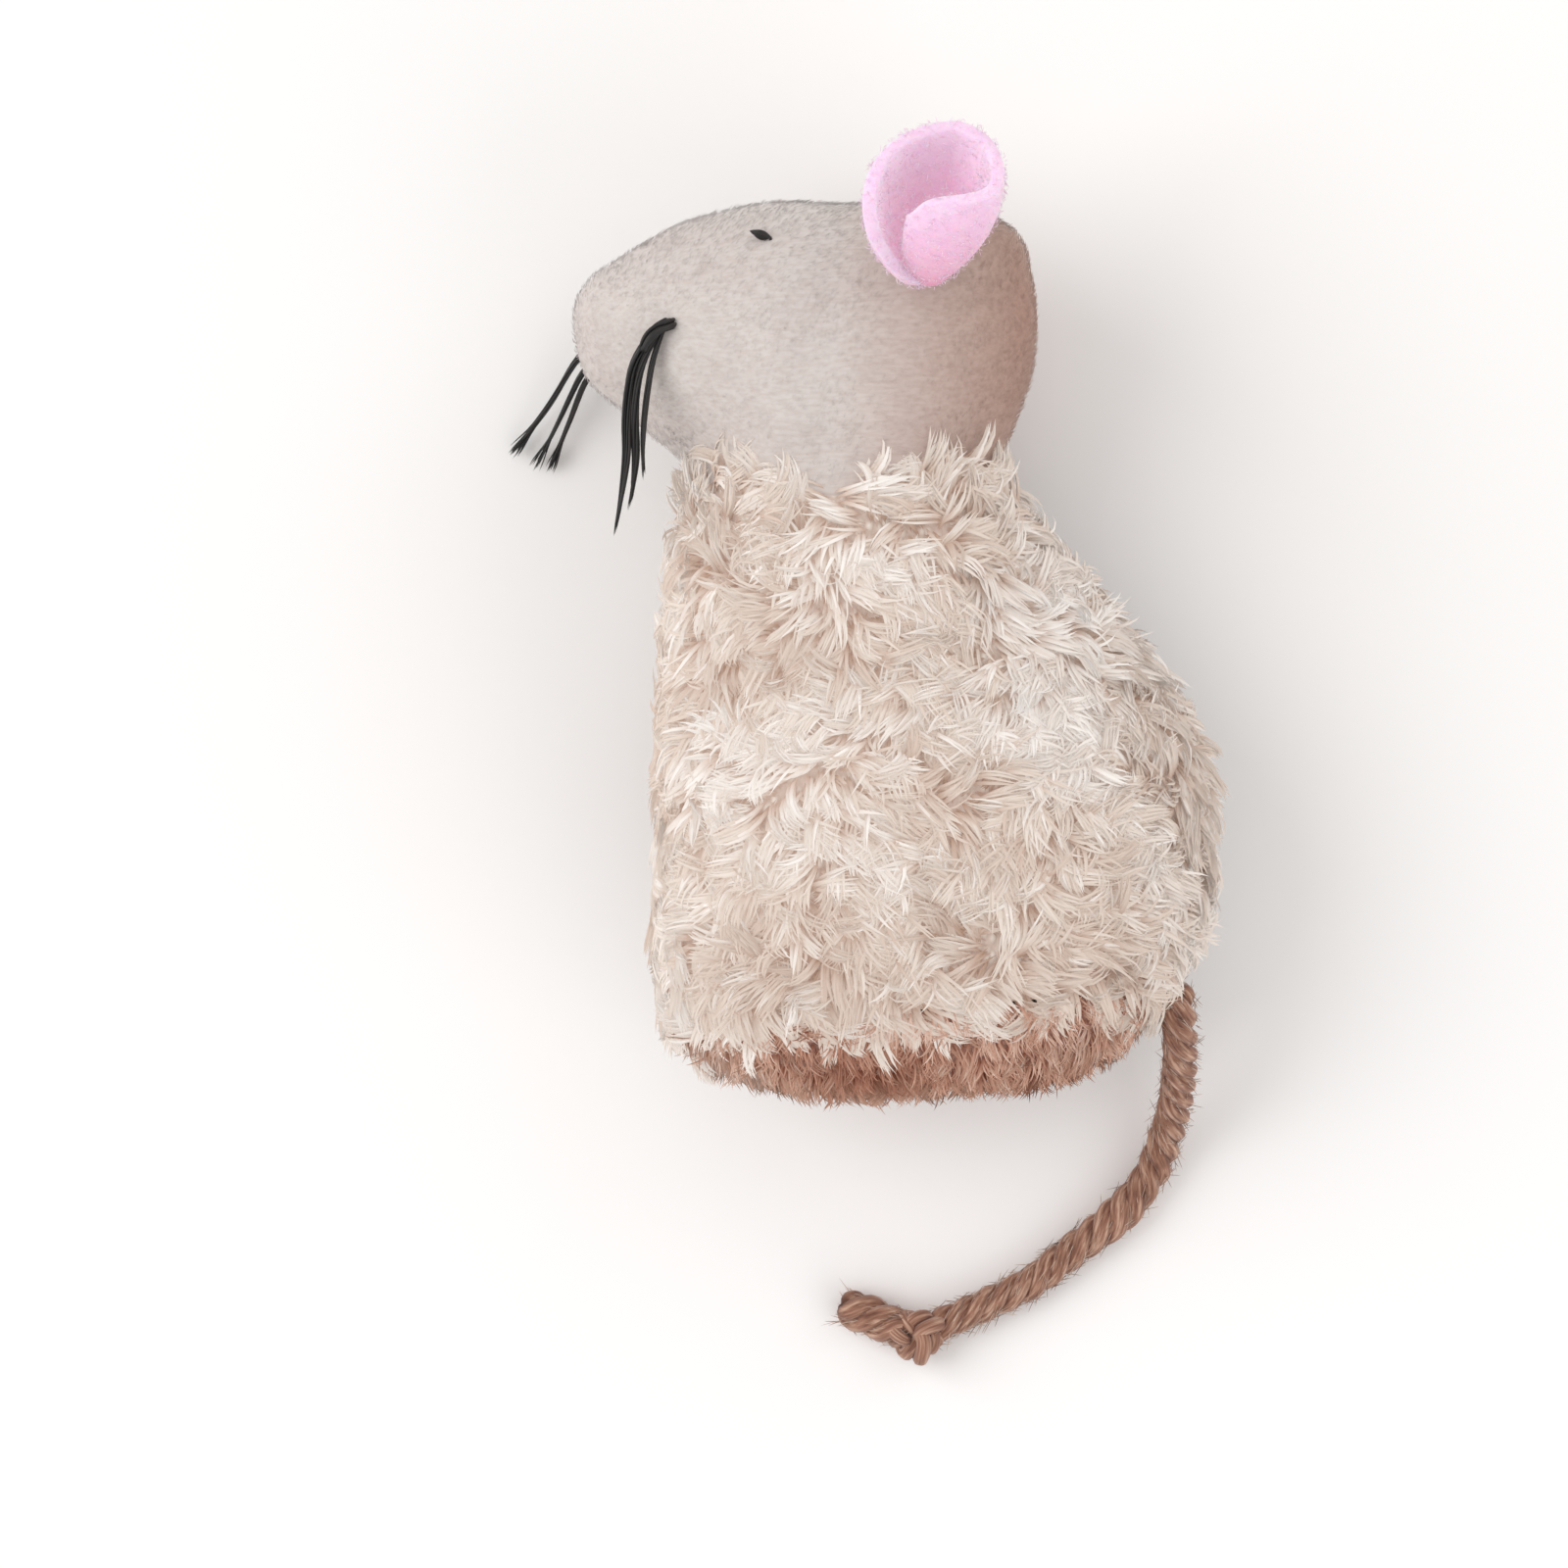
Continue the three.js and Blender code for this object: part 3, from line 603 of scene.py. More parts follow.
def rope(name, line, diameter, swell=None, turns_from=0.0):
    """Three twisted strands along a line, as one mesh, with what the jute finish reads."""
    steps = len(line)
    along = np.concatenate([[0], np.cumsum(np.linalg.norm(np.diff(line, axis=0), axis=1))])
    _, first, second = transported(line[None])
    thick = np.ones(steps) if swell is None else swell(along)
    end = np.clip(np.minimum(along, along[-1] - along) / (0.3 * diameter), 0, 1)
    close = np.sqrt(1 - (1 - end) ** 2 * 0.96)
    sides = 14
    turn = np.linspace(0, 2 * np.pi, sides, endpoint=False)
    centres = []
    for k in range(3):
        angle = -2 * np.pi * (along / TWIST + k / 3) + turns_from
        offset = first[0] * np.cos(angle)[:, None] + second[0] * np.sin(angle)[:, None]
        centres.append(line + offset * (0.265 * diameter * thick * close)[:, None])
    centres = np.stack(centres)
    _, first, second = transported(centres)
    points, lengths, turns, groove_shade_masks, quads, caps = [], [], [], [], [], []
    for k in range(3):
        ridge = 1 + 0.05 * np.sin(5 * turn[None] + 1.3 * along[:, None] / TWIST * 2 * np.pi)
        radius = 0.25 * diameter * (thick * close)[:, None] * ridge
        ring = first[k][:, None] * np.cos(turn)[:, None] + second[k][:, None] * np.sin(turn)[:, None]
        tube = centres[k][:, None] + ring * radius[..., None]
        base = sum(len(p) for p in points)
        points.append(np.vstack([tube.reshape(-1, 3), centres[k][0], centres[k][-1]]))
        # How far out each point of a strand lies, which the jute finish turns into painted shade in the
        # grooves.
        out = np.linalg.norm(tube - line[:, None], axis=2) / (0.5 * diameter * thick[:, None])
        groove_shade_masks.append(np.append(smoothstep(0.45, 0.95, out).ravel(), [0.6, 0.6]))
        lengths.append(np.append(np.repeat(along + 40 * k, sides), [0, 0]))
        turns.append(np.append(np.tile(np.abs(turn / np.pi - 1), steps), [0, 0]))
        i, j = np.arange(sides), (np.arange(sides) + 1) % sides
        quads.append(base + strips(steps, sides))
        tip = base + steps * sides
        caps.append(np.stack([np.full(sides, tip), base + j, base + i], 1))
        last = base + (steps - 1) * sides
        caps.append(np.stack([np.full(sides, tip + 1), last + i, last + j], 1))
    obj = made(name, np.vstack(points), np.vstack(quads), np.vstack(caps))
    for mark, values in (("length", lengths), ("turn", turns), ("groove_shade_mask", groove_shade_masks)):
        marked(obj, mark, np.concatenate(values))
    return obj


def loose_fibres(name, line, diameter, count, seed):
    """Fine fibres that have worked loose along a rope."""
    rng = np.random.default_rng(seed)
    _, first, second = transported(line[None])
    tangent = unit(np.gradient(line, axis=0))
    steps = 6
    start = rng.integers(2, len(line) - 3, count)
    angle = rng.uniform(0, 2 * np.pi, count)
    out = first[0][start] * np.cos(angle)[:, None] + second[0][start] * np.sin(angle)[:, None]
    around = np.cross(tangent[start], out)
    heading = rng.choice([-1, 1], (count, 1))
    way = unit(heading * (tangent[start] - 0.75 * around) + rng.normal(0, 0.2, (count, 3)))
    length = rng.uniform(0.7, 1.7, count)
    lift = rng.uniform(0.0, 0.5, count) ** 2
    centres = []
    for j in range(steps):
        share = j / (steps - 1)
        off = out * (0.47 * diameter + (lift * share**1.5)[:, None])
        centres.append(line[start] + off + way * (length * share)[:, None])
    centres = np.stack(centres, 1)
    centres[..., 2] = np.maximum(centres[..., 2], JUTE_FIBRE + 0.025)
    radii = np.full((count, steps), JUTE_FIBRE) * np.linspace(1, 0.4, steps)
    return fibres(name, centres, radii, rng.uniform(0, 1, count))


def tail_swell(along):
    return 1.0 + 0.14 * np.exp(-(((along - 22.5) / 1.6) ** 2)) - 0.06 * smoothstep(24, 30, along)


tail_line = rounded_line([from_root(row) for row in TAIL_ROUTE], 260)
tail = rope("tail_twisted_rope", tail_line, ROPE, tail_swell)
dressed(tail, JUTE, "tail", "jute", "tail_rope")

knot_middle = from_root(KNOT_AT)
turn = np.linspace(0.25, 2 * np.pi - 0.35, 90)
loops = np.stack(
    [
        (np.sin(turn) + 2 * np.sin(2 * turn)) / 3,
        (np.cos(turn) - 2 * np.cos(2 * turn)) / 3,
        -np.sin(3 * turn) / 2.3,
    ],
    1,
)
knot_line = knot_middle + loops * (1.15, 1.1, 1.5)
knot = rope("tail_overhand_knot", knot_line, KNOT_ROPE, turns_from=0.5)
dressed(knot, JUTE, "tail", "jute", "tail_knot")
free_points = [knot_middle + (-0.7, 0.2, 0)] + [from_root(row) for row in FREE_END_ROUTE]
free_line = rounded_line(free_points, 60)
free_end = rope("tail_loose_end", free_line, FREE_END, turns_from=1.2)
dressed(free_end, JUTE, "tail", "jute", "tail_free_end")
tail_fuzz = loose_fibres("tail_fibres", np.vstack([tail_line, free_line]), ROPE, 1500, 11)
dressed(tail_fuzz, JUTE_FUZZ, "tail", "jute")

# ---- body


BACKING = 1.2  # depth of the knit backing under the tips of the pile
BODY_PILE = (3.0, 4.6)  # shortest and longest strands
BASE_PILE = (1.7, 2.7)
PILE_TAPER = np.array([0.6, 0.95, 1.0, 0.9, 0.6, 0.2])  # share of a strand's radius, root to tip
PILE_LOWEST = 0.12  # height of the lowest strands over the floor
NAP_TAPER = np.array([1.0, 1.0, 0.7, 0.3])
WORN_SPOTS = [(-4, 7), (-9.6, -17)]  # in X and Y, on the near side


def body_skin(name, side, material, slot_name, gusset, *nodes):
    """Half of the fabric under the base seam, for the gusset, or of the fabric over it."""
    skin = shell(name, body, side, BACKING, thickness=0.5)
    toward = 1 if gusset else -1
    middle = (TAIL_ROOT[0], TAIL_ROOT[1] - toward * 0.1, SEAM)
    cut(skin, middle, (-toward * BASE_SLOPE, toward, 0))
    if not gusset:
        cut(skin, (NECK[0], NECK[1] + 0.4, SEAM), (0, 1, 0))
    dressed(skin, material, "torso", slot_name, *nodes)


body_skin("body_backing_near", 1, KNIT, "long_pile_plush", False, "body_panel_near")
body_skin("body_backing_far", -1, KNIT, "long_pile_plush", False, "body_panel_far")
# The gusset's knit is brown as painted shade of the underside.
body_skin("base_backing_near", 1, BASE_KNIT_PAINTED_SHADE, "short_brown_plush", True, "base_gusset")
body_skin("base_backing_far", -1, BASE_KNIT_PAINTED_SHADE, "short_brown_plush", True)


def nearest(points, centres):
    """The nearest centre to each point."""
    tree = kdtree.KDTree(len(centres))
    for i, centre in enumerate(centres):
        tree.insert(centre, i)
    tree.balance()
    return np.array([tree.find(p)[1] for p in points])


def turned(vector, axis, angle):
    """Vectors turned about unit axes."""
    angle = np.asarray(angle)[..., None]
    return (
        vector * np.cos(angle)
        + np.cross(axis, vector) * np.sin(angle)
        + axis * (axis * vector).sum(-1, keepdims=True) * (1 - np.cos(angle))
    )


def grown(roots, normals, way, lean, curl, length, steps):
    """Centre lines that rise from their roots and lean over along way, turning as they go."""
    at, lines = roots.copy(), [roots]
    for j in range(steps):
        share = j / (steps - 1)
        tilt = (lean[0] + (lean[1] - lean[0]) * share)[:, None]
        heading = turned(way, normals, curl * share)
        at = at + (normals * np.cos(tilt) + heading * np.sin(tilt)) * (length / steps)[:, None]
        lines.append(at)
    return np.stack(lines, 1)


def tufts(form, tilts, strands, per_tuft, flow, pile, thickness, seed, keep, gather=0.8, lean=(54, 92)):
    """Centre lines, radii, tints and ground of a pile that falls in tufts over a form.

    Its lengths run over the range of pile and its radii over the range of thickness. Its strands
    lean from their normals by the first angle of lean at the root and by the second at the tip.
    """
    rng = np.random.default_rng(seed)
    roots, normals = form.scattered(strands, tilts, BACKING, rng, keep)
    tuft_roots, tuft_normals = form.scattered(strands // per_tuft, tilts, BACKING, rng, keep)
    tuft = nearest(roots, tuft_roots)
    many = len(tuft_roots)
    tuft_way = turned(flow(tuft_roots, tuft_normals), tuft_normals, rng.normal(0, 0.55, many))
    tuft_curl = rng.normal(0, 0.75, many)
    tuft_length = rng.uniform(*pile, many)
    tuft_lean = np.radians(lean[0] + rng.normal(0, 9, many)), np.radians(lean[1] + rng.normal(0, 13, many))
    steps = len(PILE_TAPER) - 1
    spine = grown(tuft_roots, tuft_normals, tuft_way, tuft_lean, tuft_curl, tuft_length, steps)
    way = turned(tuft_way[tuft], normals, rng.normal(0, 0.22, strands))
    length = tuft_length[tuft] * rng.uniform(0.7, 1.15, strands)
    own_lean = (
        tuft_lean[0][tuft] + rng.normal(0, 0.12, strands),
        tuft_lean[1][tuft] + rng.normal(0, 0.14, strands),
    )
    curl = tuft_curl[tuft] + rng.normal(0, 0.28, strands)
    lines = grown(roots, normals, way, own_lean, curl, length, steps)
    share = np.linspace(0, 1, steps + 1)[None, :, None] ** 1.3
    lines += gather * rng.uniform(0.3, 1.2, (strands, 1, 1)) * share * (spine[tuft] - lines)
    lines[..., 2] = np.maximum(lines[..., 2], PILE_LOWEST)
    radii = rng.uniform(*thickness, (strands, 1)) * PILE_TAPER
    tint = 0.45 + 0.12 * rng.normal(0, 1, many)[tuft] + rng.normal(0, 0.07, strands)
    tint += 0.16 * field(roots, 12, seed + 5)
    # About one strand in eight is made lighter: painted highlights along the pile.
    tint = np.where(rng.random(strands) < 0.12, tint + 0.35, tint)
    return lines, radii, np.clip(tint, 0, 1), normals


def tangent_to(normals, way):
    """Way laid along the surface."""
    return unit(way - (way * normals).sum(1, keepdims=True) * normals)


def body_flow(at, normals):
    """The pile falls down and outwards in swirls, and stands up round the neck."""
    out = at - np.array([body.middle[0], body.middle[1] + 6, SEAM])
    way = unit(out * (1, 1, 0.2)) * 0.75 + np.array([0, -1.0, 0])
    way[:, 1] -= 1.2 * smoothstep(4.0, 0.5, above_base(at))
    collar = smoothstep(NECK[1] - 4.5, NECK[1] - 1.5, at[:, 1])[:, None]
    way = way * (1 - collar) + np.array([-0.35, 1.0, 0]) * collar
    return turned(tangent_to(normals, way), normals, 1.0 * field(at, 11, 21) + 0.5 * field(at, 4.5, 22))


def on_body(at):
    """Where long pile grows: over the base seam, under the neck, and thin where the fabric is worn."""
    keep = (above_base(at) > -0.5) * (at[:, 1] < NECK[1] + 0.1 + 0.6 * field(at, 4, 23)) * 1.0
    for x, y in WORN_SPOTS:
        worn = np.hypot(at[:, 0] - x, at[:, 1] - y) < 0.8
        keep *= np.where(worn & (at[:, 2] > SEAM), 0.25, 1)
    return keep * np.where(at[:, 2] < 1.5, 0.25, 1)


def on_base(at):
    return (above_base(at) < 0.3) * np.where(at[:, 2] < 1.5, 0.3, 1)


def base_flow(at, normals):
    """Short pile that hangs down, ruffled."""
    way = tangent_to(normals, np.array([0.1, -1.0, 0]))
    return turned(way, normals, 0.8 * field(at, 3, 31))


BELLY = NECK[0] - 0.346 * BODY_WIDTH + BACKING  # where the skin of the belly is, in X


def fur(name, material, slot_name, grown_pile, parts, lit):
    """A pile as several pieces, so that none has too many faces. It lies flat along the belly.

    It is shaded as if its ground faced up by at least lit, as light gets in between the strands.
    """
    lines, radii, tint, normals = grown_pile
    lines[..., 0] -= 0.5 * np.minimum(lines[..., 0] - BELLY, 0)
    normals = unit(np.column_stack([normals[:, :2], np.maximum(normals[:, 2], lit)]))
    for i in range(parts):
        of = slice(i, None, parts)
        piece = fibres(f"{name}_{i + 1}", lines[of], radii[of], tint[of], flatness=0.6, ground=normals[of])
        dressed(piece, material, "torso", slot_name)
        piece.visible_shadow = False  # fine fibres let the light through to the backing


UPPER, LOWER, ALL_ROUND = (0.0, math.pi / 2), (-math.pi / 2, 0.0), (-math.pi / 2, math.pi / 2)
near_fur = tufts(body, UPPER, 24000, 9, body_flow, BODY_PILE, (0.09, 0.19), 1, on_body)
fur("body_pile_near", FUR, "long_pile_plush", near_fur, 4, 1.0)
far_fur = tufts(body, LOWER, 20000, 9, body_flow, BODY_PILE, (0.09, 0.17), 2, on_body)
fur("body_pile_far", FUR, "long_pile_plush", far_fur, 4, 1.6)
base_pile_grown = tufts(
    body, ALL_ROUND, 7000, 7, base_flow, BASE_PILE, (0.05, 0.09), 3, on_base, 0.3, (15, 60)
)
# The base pile is short where the tail comes out, and darker there as painted shade in the corner by the
# tail.
lines, _, tint, _ = base_pile_grown
from_tail = np.hypot(lines[:, 0, 0] - TAIL_ROOT[0], lines[:, 0, 1] - TAIL_ROOT[1])
by_tail = np.exp(-((from_tail / 4.5) ** 2))
lines -= 0.6 * by_tail[:, None, None] * (lines - lines[:, :1])
# Painted shade: the tint is lowered near the tail root.
tint -= np.minimum(tint, 0.5 * by_tail)
fur("base_pile", BASE_FUR, "short_brown_plush", base_pile_grown, 1, 0.0)


STEEPEST = math.pi / 2 - 0.03  # tilt of a filling's last ring, beside its pole


def stuffing(name, form, depth, seed, floor):
    """Filling packed in lumps, which stays above a floor."""
    around, rows = 96, 48
    bearing = np.linspace(-np.pi, np.pi, around, endpoint=False)
    tilt = np.linspace(-STEEPEST, STEEPEST, rows)
    wide, high = (grid.ravel() for grid in np.meshgrid(bearing, tilt))
    middle = depth + 0.5  # of the lumps
    at = form.at(wide, high, middle)
    at = at + form.normal(wide, high, middle) * 0.35 * field(at, 5, seed)[:, None]
    at[:, 2] = np.maximum(at[:, 2], floor)
    i, j = np.arange(around), (np.arange(around) + 1) % around
    count = len(at)
    points = np.vstack([at, at[:around].mean(0), at[-around:].mean(0)])
    top = count - around
    caps = np.vstack([
        np.stack([np.full(around, count), j, i], 1),
        np.stack([np.full(around, count + 1), top + i, top + j], 1),
    ])
    return made(name, points, strips(rows, around), caps)


body_filling = stuffing("body_filling", body, STUFFING_DEPTH, seed=41, floor=3.2)
cut(body_filling, (NECK[0], NECK[1] - 0.3, SEAM), (0, 1, 0))
dressed(body_filling, FILLING, "torso", "filling", "body_stuffing")

# ---- head

VELOUR_DEPTH = 0.1  # of the woven face under the nap
FILLING_GAP = 2.0  # room for the head to nod without its filling meeting the body's


def seam_groove(at):
    """How far the skin stands out: full at brow and nose, drawn in along its seam and at the neck."""
    over = np.abs(at[:, 2] - SEAM)
    neck = smoothstep(NECK[1] + 5, NECK[1], at[:, 1])
    brow = 0.8 * np.exp(-(((at[:, 0] - NECK[0] + 13) / 5) ** 2))
    brow = brow * smoothstep(NECK[1] + 9, NECK[1] + 15, at[:, 1])
    nose = 0.3 * smoothstep(NECK[0] - 16, NECK[0] - 18.5, at[:, 0])
    return brow + nose - 0.25 * np.exp(-((over / 0.4) ** 2)) + 0.1 * field(at, 9, 51) - 0.3 * neck


def bend_at_neck(obj):
    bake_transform(obj)


def head_skin(name, side, node):
    skin = shell(name, head, side, VELOUR_DEPTH, thickness=0.6, around=260, rows=80, shape=seam_groove)
    cut(skin, (NECK[0], NECK[1] - 3.2, SEAM), (0, -1, 0))
    dressed(skin, VELOUR, None, "velour", node)
    bend_at_neck(skin)


def nap_flow(at, normals):
    """The nap runs back over the cheek, and turns up towards the crown."""
    angle = np.radians(20 + 25 * smoothstep(-14, 12, at[:, 0]))
    way = np.stack([np.cos(angle), np.sin(angle), 0 * angle], 1)
    return turned(tangent_to(normals, way), normals, 0.25 * field(at, 6, 61))


def over_neck(at):
    return (at[:, 1] > NECK[1] - 1) * 1.0


def nap(name, tilts, strands, seed):
    """The short nap of the velour, which shows along the outline."""
    rng = np.random.default_rng(seed)
    roots, normals = head.scattered(strands, tilts, VELOUR_DEPTH, rng, over_neck)
    roots = roots + normals * seam_groove(roots)[:, None]
    way = turned(nap_flow(roots, normals), normals, rng.normal(0, 0.3, strands))
    lean = np.radians(rng.normal(48, 10, strands)), np.radians(rng.normal(84, 8, strands))
    curl, length = rng.normal(0, 0.3, strands), rng.uniform(0.35, 0.65, strands)
    lines = grown(roots, normals, way, lean, curl, length, 3)
    radii = rng.uniform(0.02, 0.03, (strands, 1)) * NAP_TAPER
    piece = fibres(name, lines, radii, rng.uniform(0.2, 0.8, strands), ground=normals)
    # Its finish goes by place, as the skin's does, and not by strand.
    piece.data.uv_layers.remove(piece.data.uv_layers["OFBake"])
    piece.visible_shadow = False
    dressed(piece, VELOUR, None, "velour")
    bend_at_neck(piece)


head_skin("head_velour_near", 1, "head_panel_near")
head_skin("head_velour_far", -1, "head_panel_far")
nap("head_nap_near", UPPER, 11000, 62)
nap("head_nap_far", LOWER, 6000, 63)
head_filling = stuffing("head_filling", head, HEAD_STUFFING_DEPTH, seed=42, floor=4.0)
cut(head_filling, (NECK[0], NECK[1] + FILLING_GAP, SEAM), (0, -1, 0))
dressed(head_filling, FILLING, "head", "filling", "head_stuffing")

# ---- eyes and whiskers


def bundle(name, points, count, width, seed, splay=0.0, fibre=0.09, twist=0.5, taper=0.4, shortest=0.86):
    """Fine fibres twisted together along a line, spread out towards the tip."""
    rng = np.random.default_rng(seed)
    steps = 26
    line = rounded_line(points, steps)
    _, first, second = transported(line[None])
    share = np.linspace(0, 1, steps)
    angle = rng.uniform(0, 2 * np.pi, count)[:, None] + 2 * np.pi * twist * share
    spread = np.sqrt(rng.random(count))[:, None] * (width / 2 - fibre)
    spread = spread * (1 - (1 - taper) * smoothstep(0.55, 1, share))
    spread = spread + splay * rng.uniform(0, 1, (count, 1)) * smoothstep(0.8, 1, share)
    spread = spread * smoothstep(-0.12, 0.1, share)
    offset = first * np.cos(angle)[..., None] + second * np.sin(angle)[..., None]
    centres = line[None] + offset * spread[..., None]
    reach = rng.uniform(shortest, 1.0, count)
    at = np.linspace(0, 1, steps)
    centres = np.stack([
        np.stack([np.interp(at * r, at, row[:, i]) for i in range(3)], 1) for row, r in zip(centres, reach)
    ])
    radii = fibre * rng.uniform(0.8, 1.15, (count, 1)) * (1 - 0.55 * smoothstep(0.75, 1, share))
    return fibres(name, centres, radii, rng.uniform(0, 1, count), sides=5)


# Each thread's width, how far its tip splays, where its shortest fibres end, and its route from the root.
WHISKERS = {
    "near": [
        (0.72, 0.1, 0.58, [
            (-1.3, -1.2, 0.2), (-2.2, -2.8, 0.2), (-2.55, -4.6, 0.3), (-2.68, -6.8, 0.3),
            (-2.65, -9.2, 0.2), (-3.0, -12, -0.2), (-3.55, -15.1, -0.5),
        ]),
        (0.72, 0.1, 0.62, [
            (-0.85, -1.1, 0.1), (-1.62, -2.8, 0.2), (-1.97, -4.6, 0.2), (-2.08, -6.8, 0.2),
            (-1.98, -9.3, 0.1), (-2.2, -11.5, -0.3), (-2.5, -13.4, -0.6),
        ]),
        (0.5, 0.1, 0.75, [
            (-0.3, -1.0, 0.1), (-0.8, -2.7, 0.1), (-1.12, -4.5, 0.1), (-1.34, -6.4, 0.1),
            (-1.5, -8.6, 0), (-1.45, -11, -0.3),
        ]),
    ],
    "far": [
        (0.6, 0.55, 0.95, [
            (-1.6, -0.2, -0.2), (-4.5, -1, -0.8), (-6.3, -1.8, -1.6), (-8.6, -5.4, -3.2),
            (-11.35, -8.9, -4.3),
        ]),
        (0.5, 0.5, 0.95, [
            (-1.6, -1, -0.2), (-4.5, -2, -0.8), (-6, -2.9, -1.6), (-7.8, -6.5, -3.2), (-9.6, -10, -4.3),
        ]),
        (0.5, 0.45, 0.95, [
            (-1.2, -1.7, -0.2), (-4.1, -2.5, -0.8), (-5.6, -3.3, -1.6), (-7.1, -6.7, -3.2),
            (-8.5, -10.1, -4.3),
        ]),
    ],
}
WHISKER_BEND = [
    (0.45, 0.3, -0.5), (0.2, 0.15, 0.05), (-0.4, -0.15, 0.2), (-0.95, -0.75, 0.25), (-1.45, -1.9, 0.25),
]


def whiskers(side, root):
    """The threads of one side, and the bend where they come out of the cheek."""
    up = 1.0 if side == "near" else -1.0
    for i, (width, splay, shortest, route) in enumerate(WHISKERS[side]):
        points = [root + (0.1, 0.1, 0)] + [root + np.array(step) for step in route]
        strand = bundle(
            f"whisker_{side}_thread_{i + 1}", points, int(34 * width), width, 70 + i, splay, shortest=shortest
        )
        dressed(strand, BLACK, f"whiskers_{side}", "black_thread", f"whisker_{side}_{i + 1}")
    points = [root + np.array(step) * (1, 1, up) for step in WHISKER_BEND]
    bend = bundle(
        f"whisker_{side}_root", points, 30, 1.3, 80, fibre=0.12, twist=0.2, taper=0.8, shortest=0.97
    )
    dressed(bend, BLACK, f"whiskers_{side}", "black_thread", f"whisker_knot_{side}")


whiskers("near", WHISKERS_NEAR_ROOT)
whiskers("far", WHISKERS_FAR_ROOT)


def stitched_eye(side):
    """An eye sewn with a few turns of thread, widest in the middle."""
    rng = np.random.default_rng(90)
    low, high = (np.array(corner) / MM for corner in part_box(f"eye_{side}"))
    middle = (low + high) / 2 - (0, 0.15, 0)
    inward = np.array([0, 0, -1.0 if side == "near" else 1.0])
    lean = math.radians(-22)
    along = np.array([math.cos(lean), math.sin(lean), 0])
    across = np.array([-math.sin(lean), math.cos(lean), 0])
    turns, steps = 9, 15
    share = np.linspace(-1, 1, steps)
    rows = []
    for k in range(turns):
        place = (k - (turns - 1) / 2) / ((turns - 1) / 2)
        reach = 0.95 - 0.3 * abs(place) + rng.uniform(-0.06, 0.06)
        dip = 0.55 * np.abs(share) ** 4 + 0.12 * place**2
        bow = 0.27 * place * np.cos(share * np.pi / 2.3) + rng.uniform(-0.02, 0.02)
        lie = along * (share * reach)[:, None] + across * bow[:, None] + inward * dip[:, None]
        rows.append(middle + lie)
    radii = np.full((turns, steps), 0.1)
    eye = fibres(f"eye_{side}_stitch", np.stack(rows), radii, rng.uniform(0, 1, turns), sides=6)
    dressed(eye, BLACK, "head", "black_thread", f"eye_{side}")


stitched_eye("near")
stitched_eye("far")

# ---- ears

# Steps in X, Y and Z from the tacked end to the edge of the near ear, from the base of its left
# lip over the top and round into the flap that is rolled inside.
EAR_EDGE = [
    (-0.7, 0.0, 0.9), (-2.3, 0.7, 3.4), (-4.0, 3.2, 6.2), (-4.5, 5.4, 7.3), (-4.25, 7.6, 7.4),
    (-3.2, 9.6, 6.6), (-1.2, 11.2, 5.4), (2.1, 12.0, 4.6), (4.3, 10.9, 5.4), (5.3, 9.1, 6.6),
    (5.4, 7.5, 7.4), (4.7, 6.5, 8.0), (3.1, 6.0, 8.2), (1.1, 5.75, 7.9), (-0.5, 5.45, 7.2), (-1.3, 4.75, 6.2),
    (-0.8, 3.8, 5.0), (0.0, 2.7, 3.8), (0.45, 1.6, 2.4),
]
EAR_AXIS = unit(np.array([0.06, 0.72, 0.69]))
FELT_THICKNESS, PRESSED_FELT = 1.0, 0.7
EAR_SET_IN = 0.4
FOLDED_LAYERS = (0.5, 1.25)  # heights of the far ear's two layers


def rolled_ear():
    """The near ear: a rounded leaf of felt rolled into a cup, with one edge tucked inside."""
    across, up = 120, 28
    edge = rounded_line(EAR_EDGE, across)
    edge = edge * (1, 0.95, 1)
    edge = edge - EAR_SET_IN * unit(edge - (edge @ EAR_AXIS)[:, None] * EAR_AXIS) - (0.15, 0, 0)
    outward = edge - (edge @ EAR_AXIS)[:, None] * EAR_AXIS
    base = unit(outward) * 0.6 + (0, 0.45, 0.2)
    share = np.linspace(0, 1, up)[:, None, None]
    bow = unit(outward)[None] * (0.9 * np.sin(np.pi * share))
    bow = bow * np.linalg.norm(edge, axis=1)[None, :, None] / 9
    at = EAR_NEAR_ROOT + base[None] + (edge - base)[None] * share + bow
    obj = made("ear_near_felt", at.reshape(-1, 3), strips(up, across, closed=False))
    marked(obj, "rise", np.repeat(np.linspace(0, 1, up), across))
    return obj


def thickened(obj, thickness):
    """Gives a sheet of felt its thickness, with soft edges."""
    solid = obj.modifiers.new("felt", "SOLIDIFY")
    solid.thickness, solid.offset = thickness * MM, 0
    soft = obj.modifiers.new("soft", "SUBSURF")
    soft.levels = soft.render_levels = 1
    graph = bpy.context.evaluated_depsgraph_get()
    mesh = bpy.data.meshes.new_from_object(obj.evaluated_get(graph))
    obj.modifiers.clear()
    obj.data = mesh
    mesh.polygons.foreach_set("use_smooth", np.ones(len(mesh.polygons), bool))
    return obj


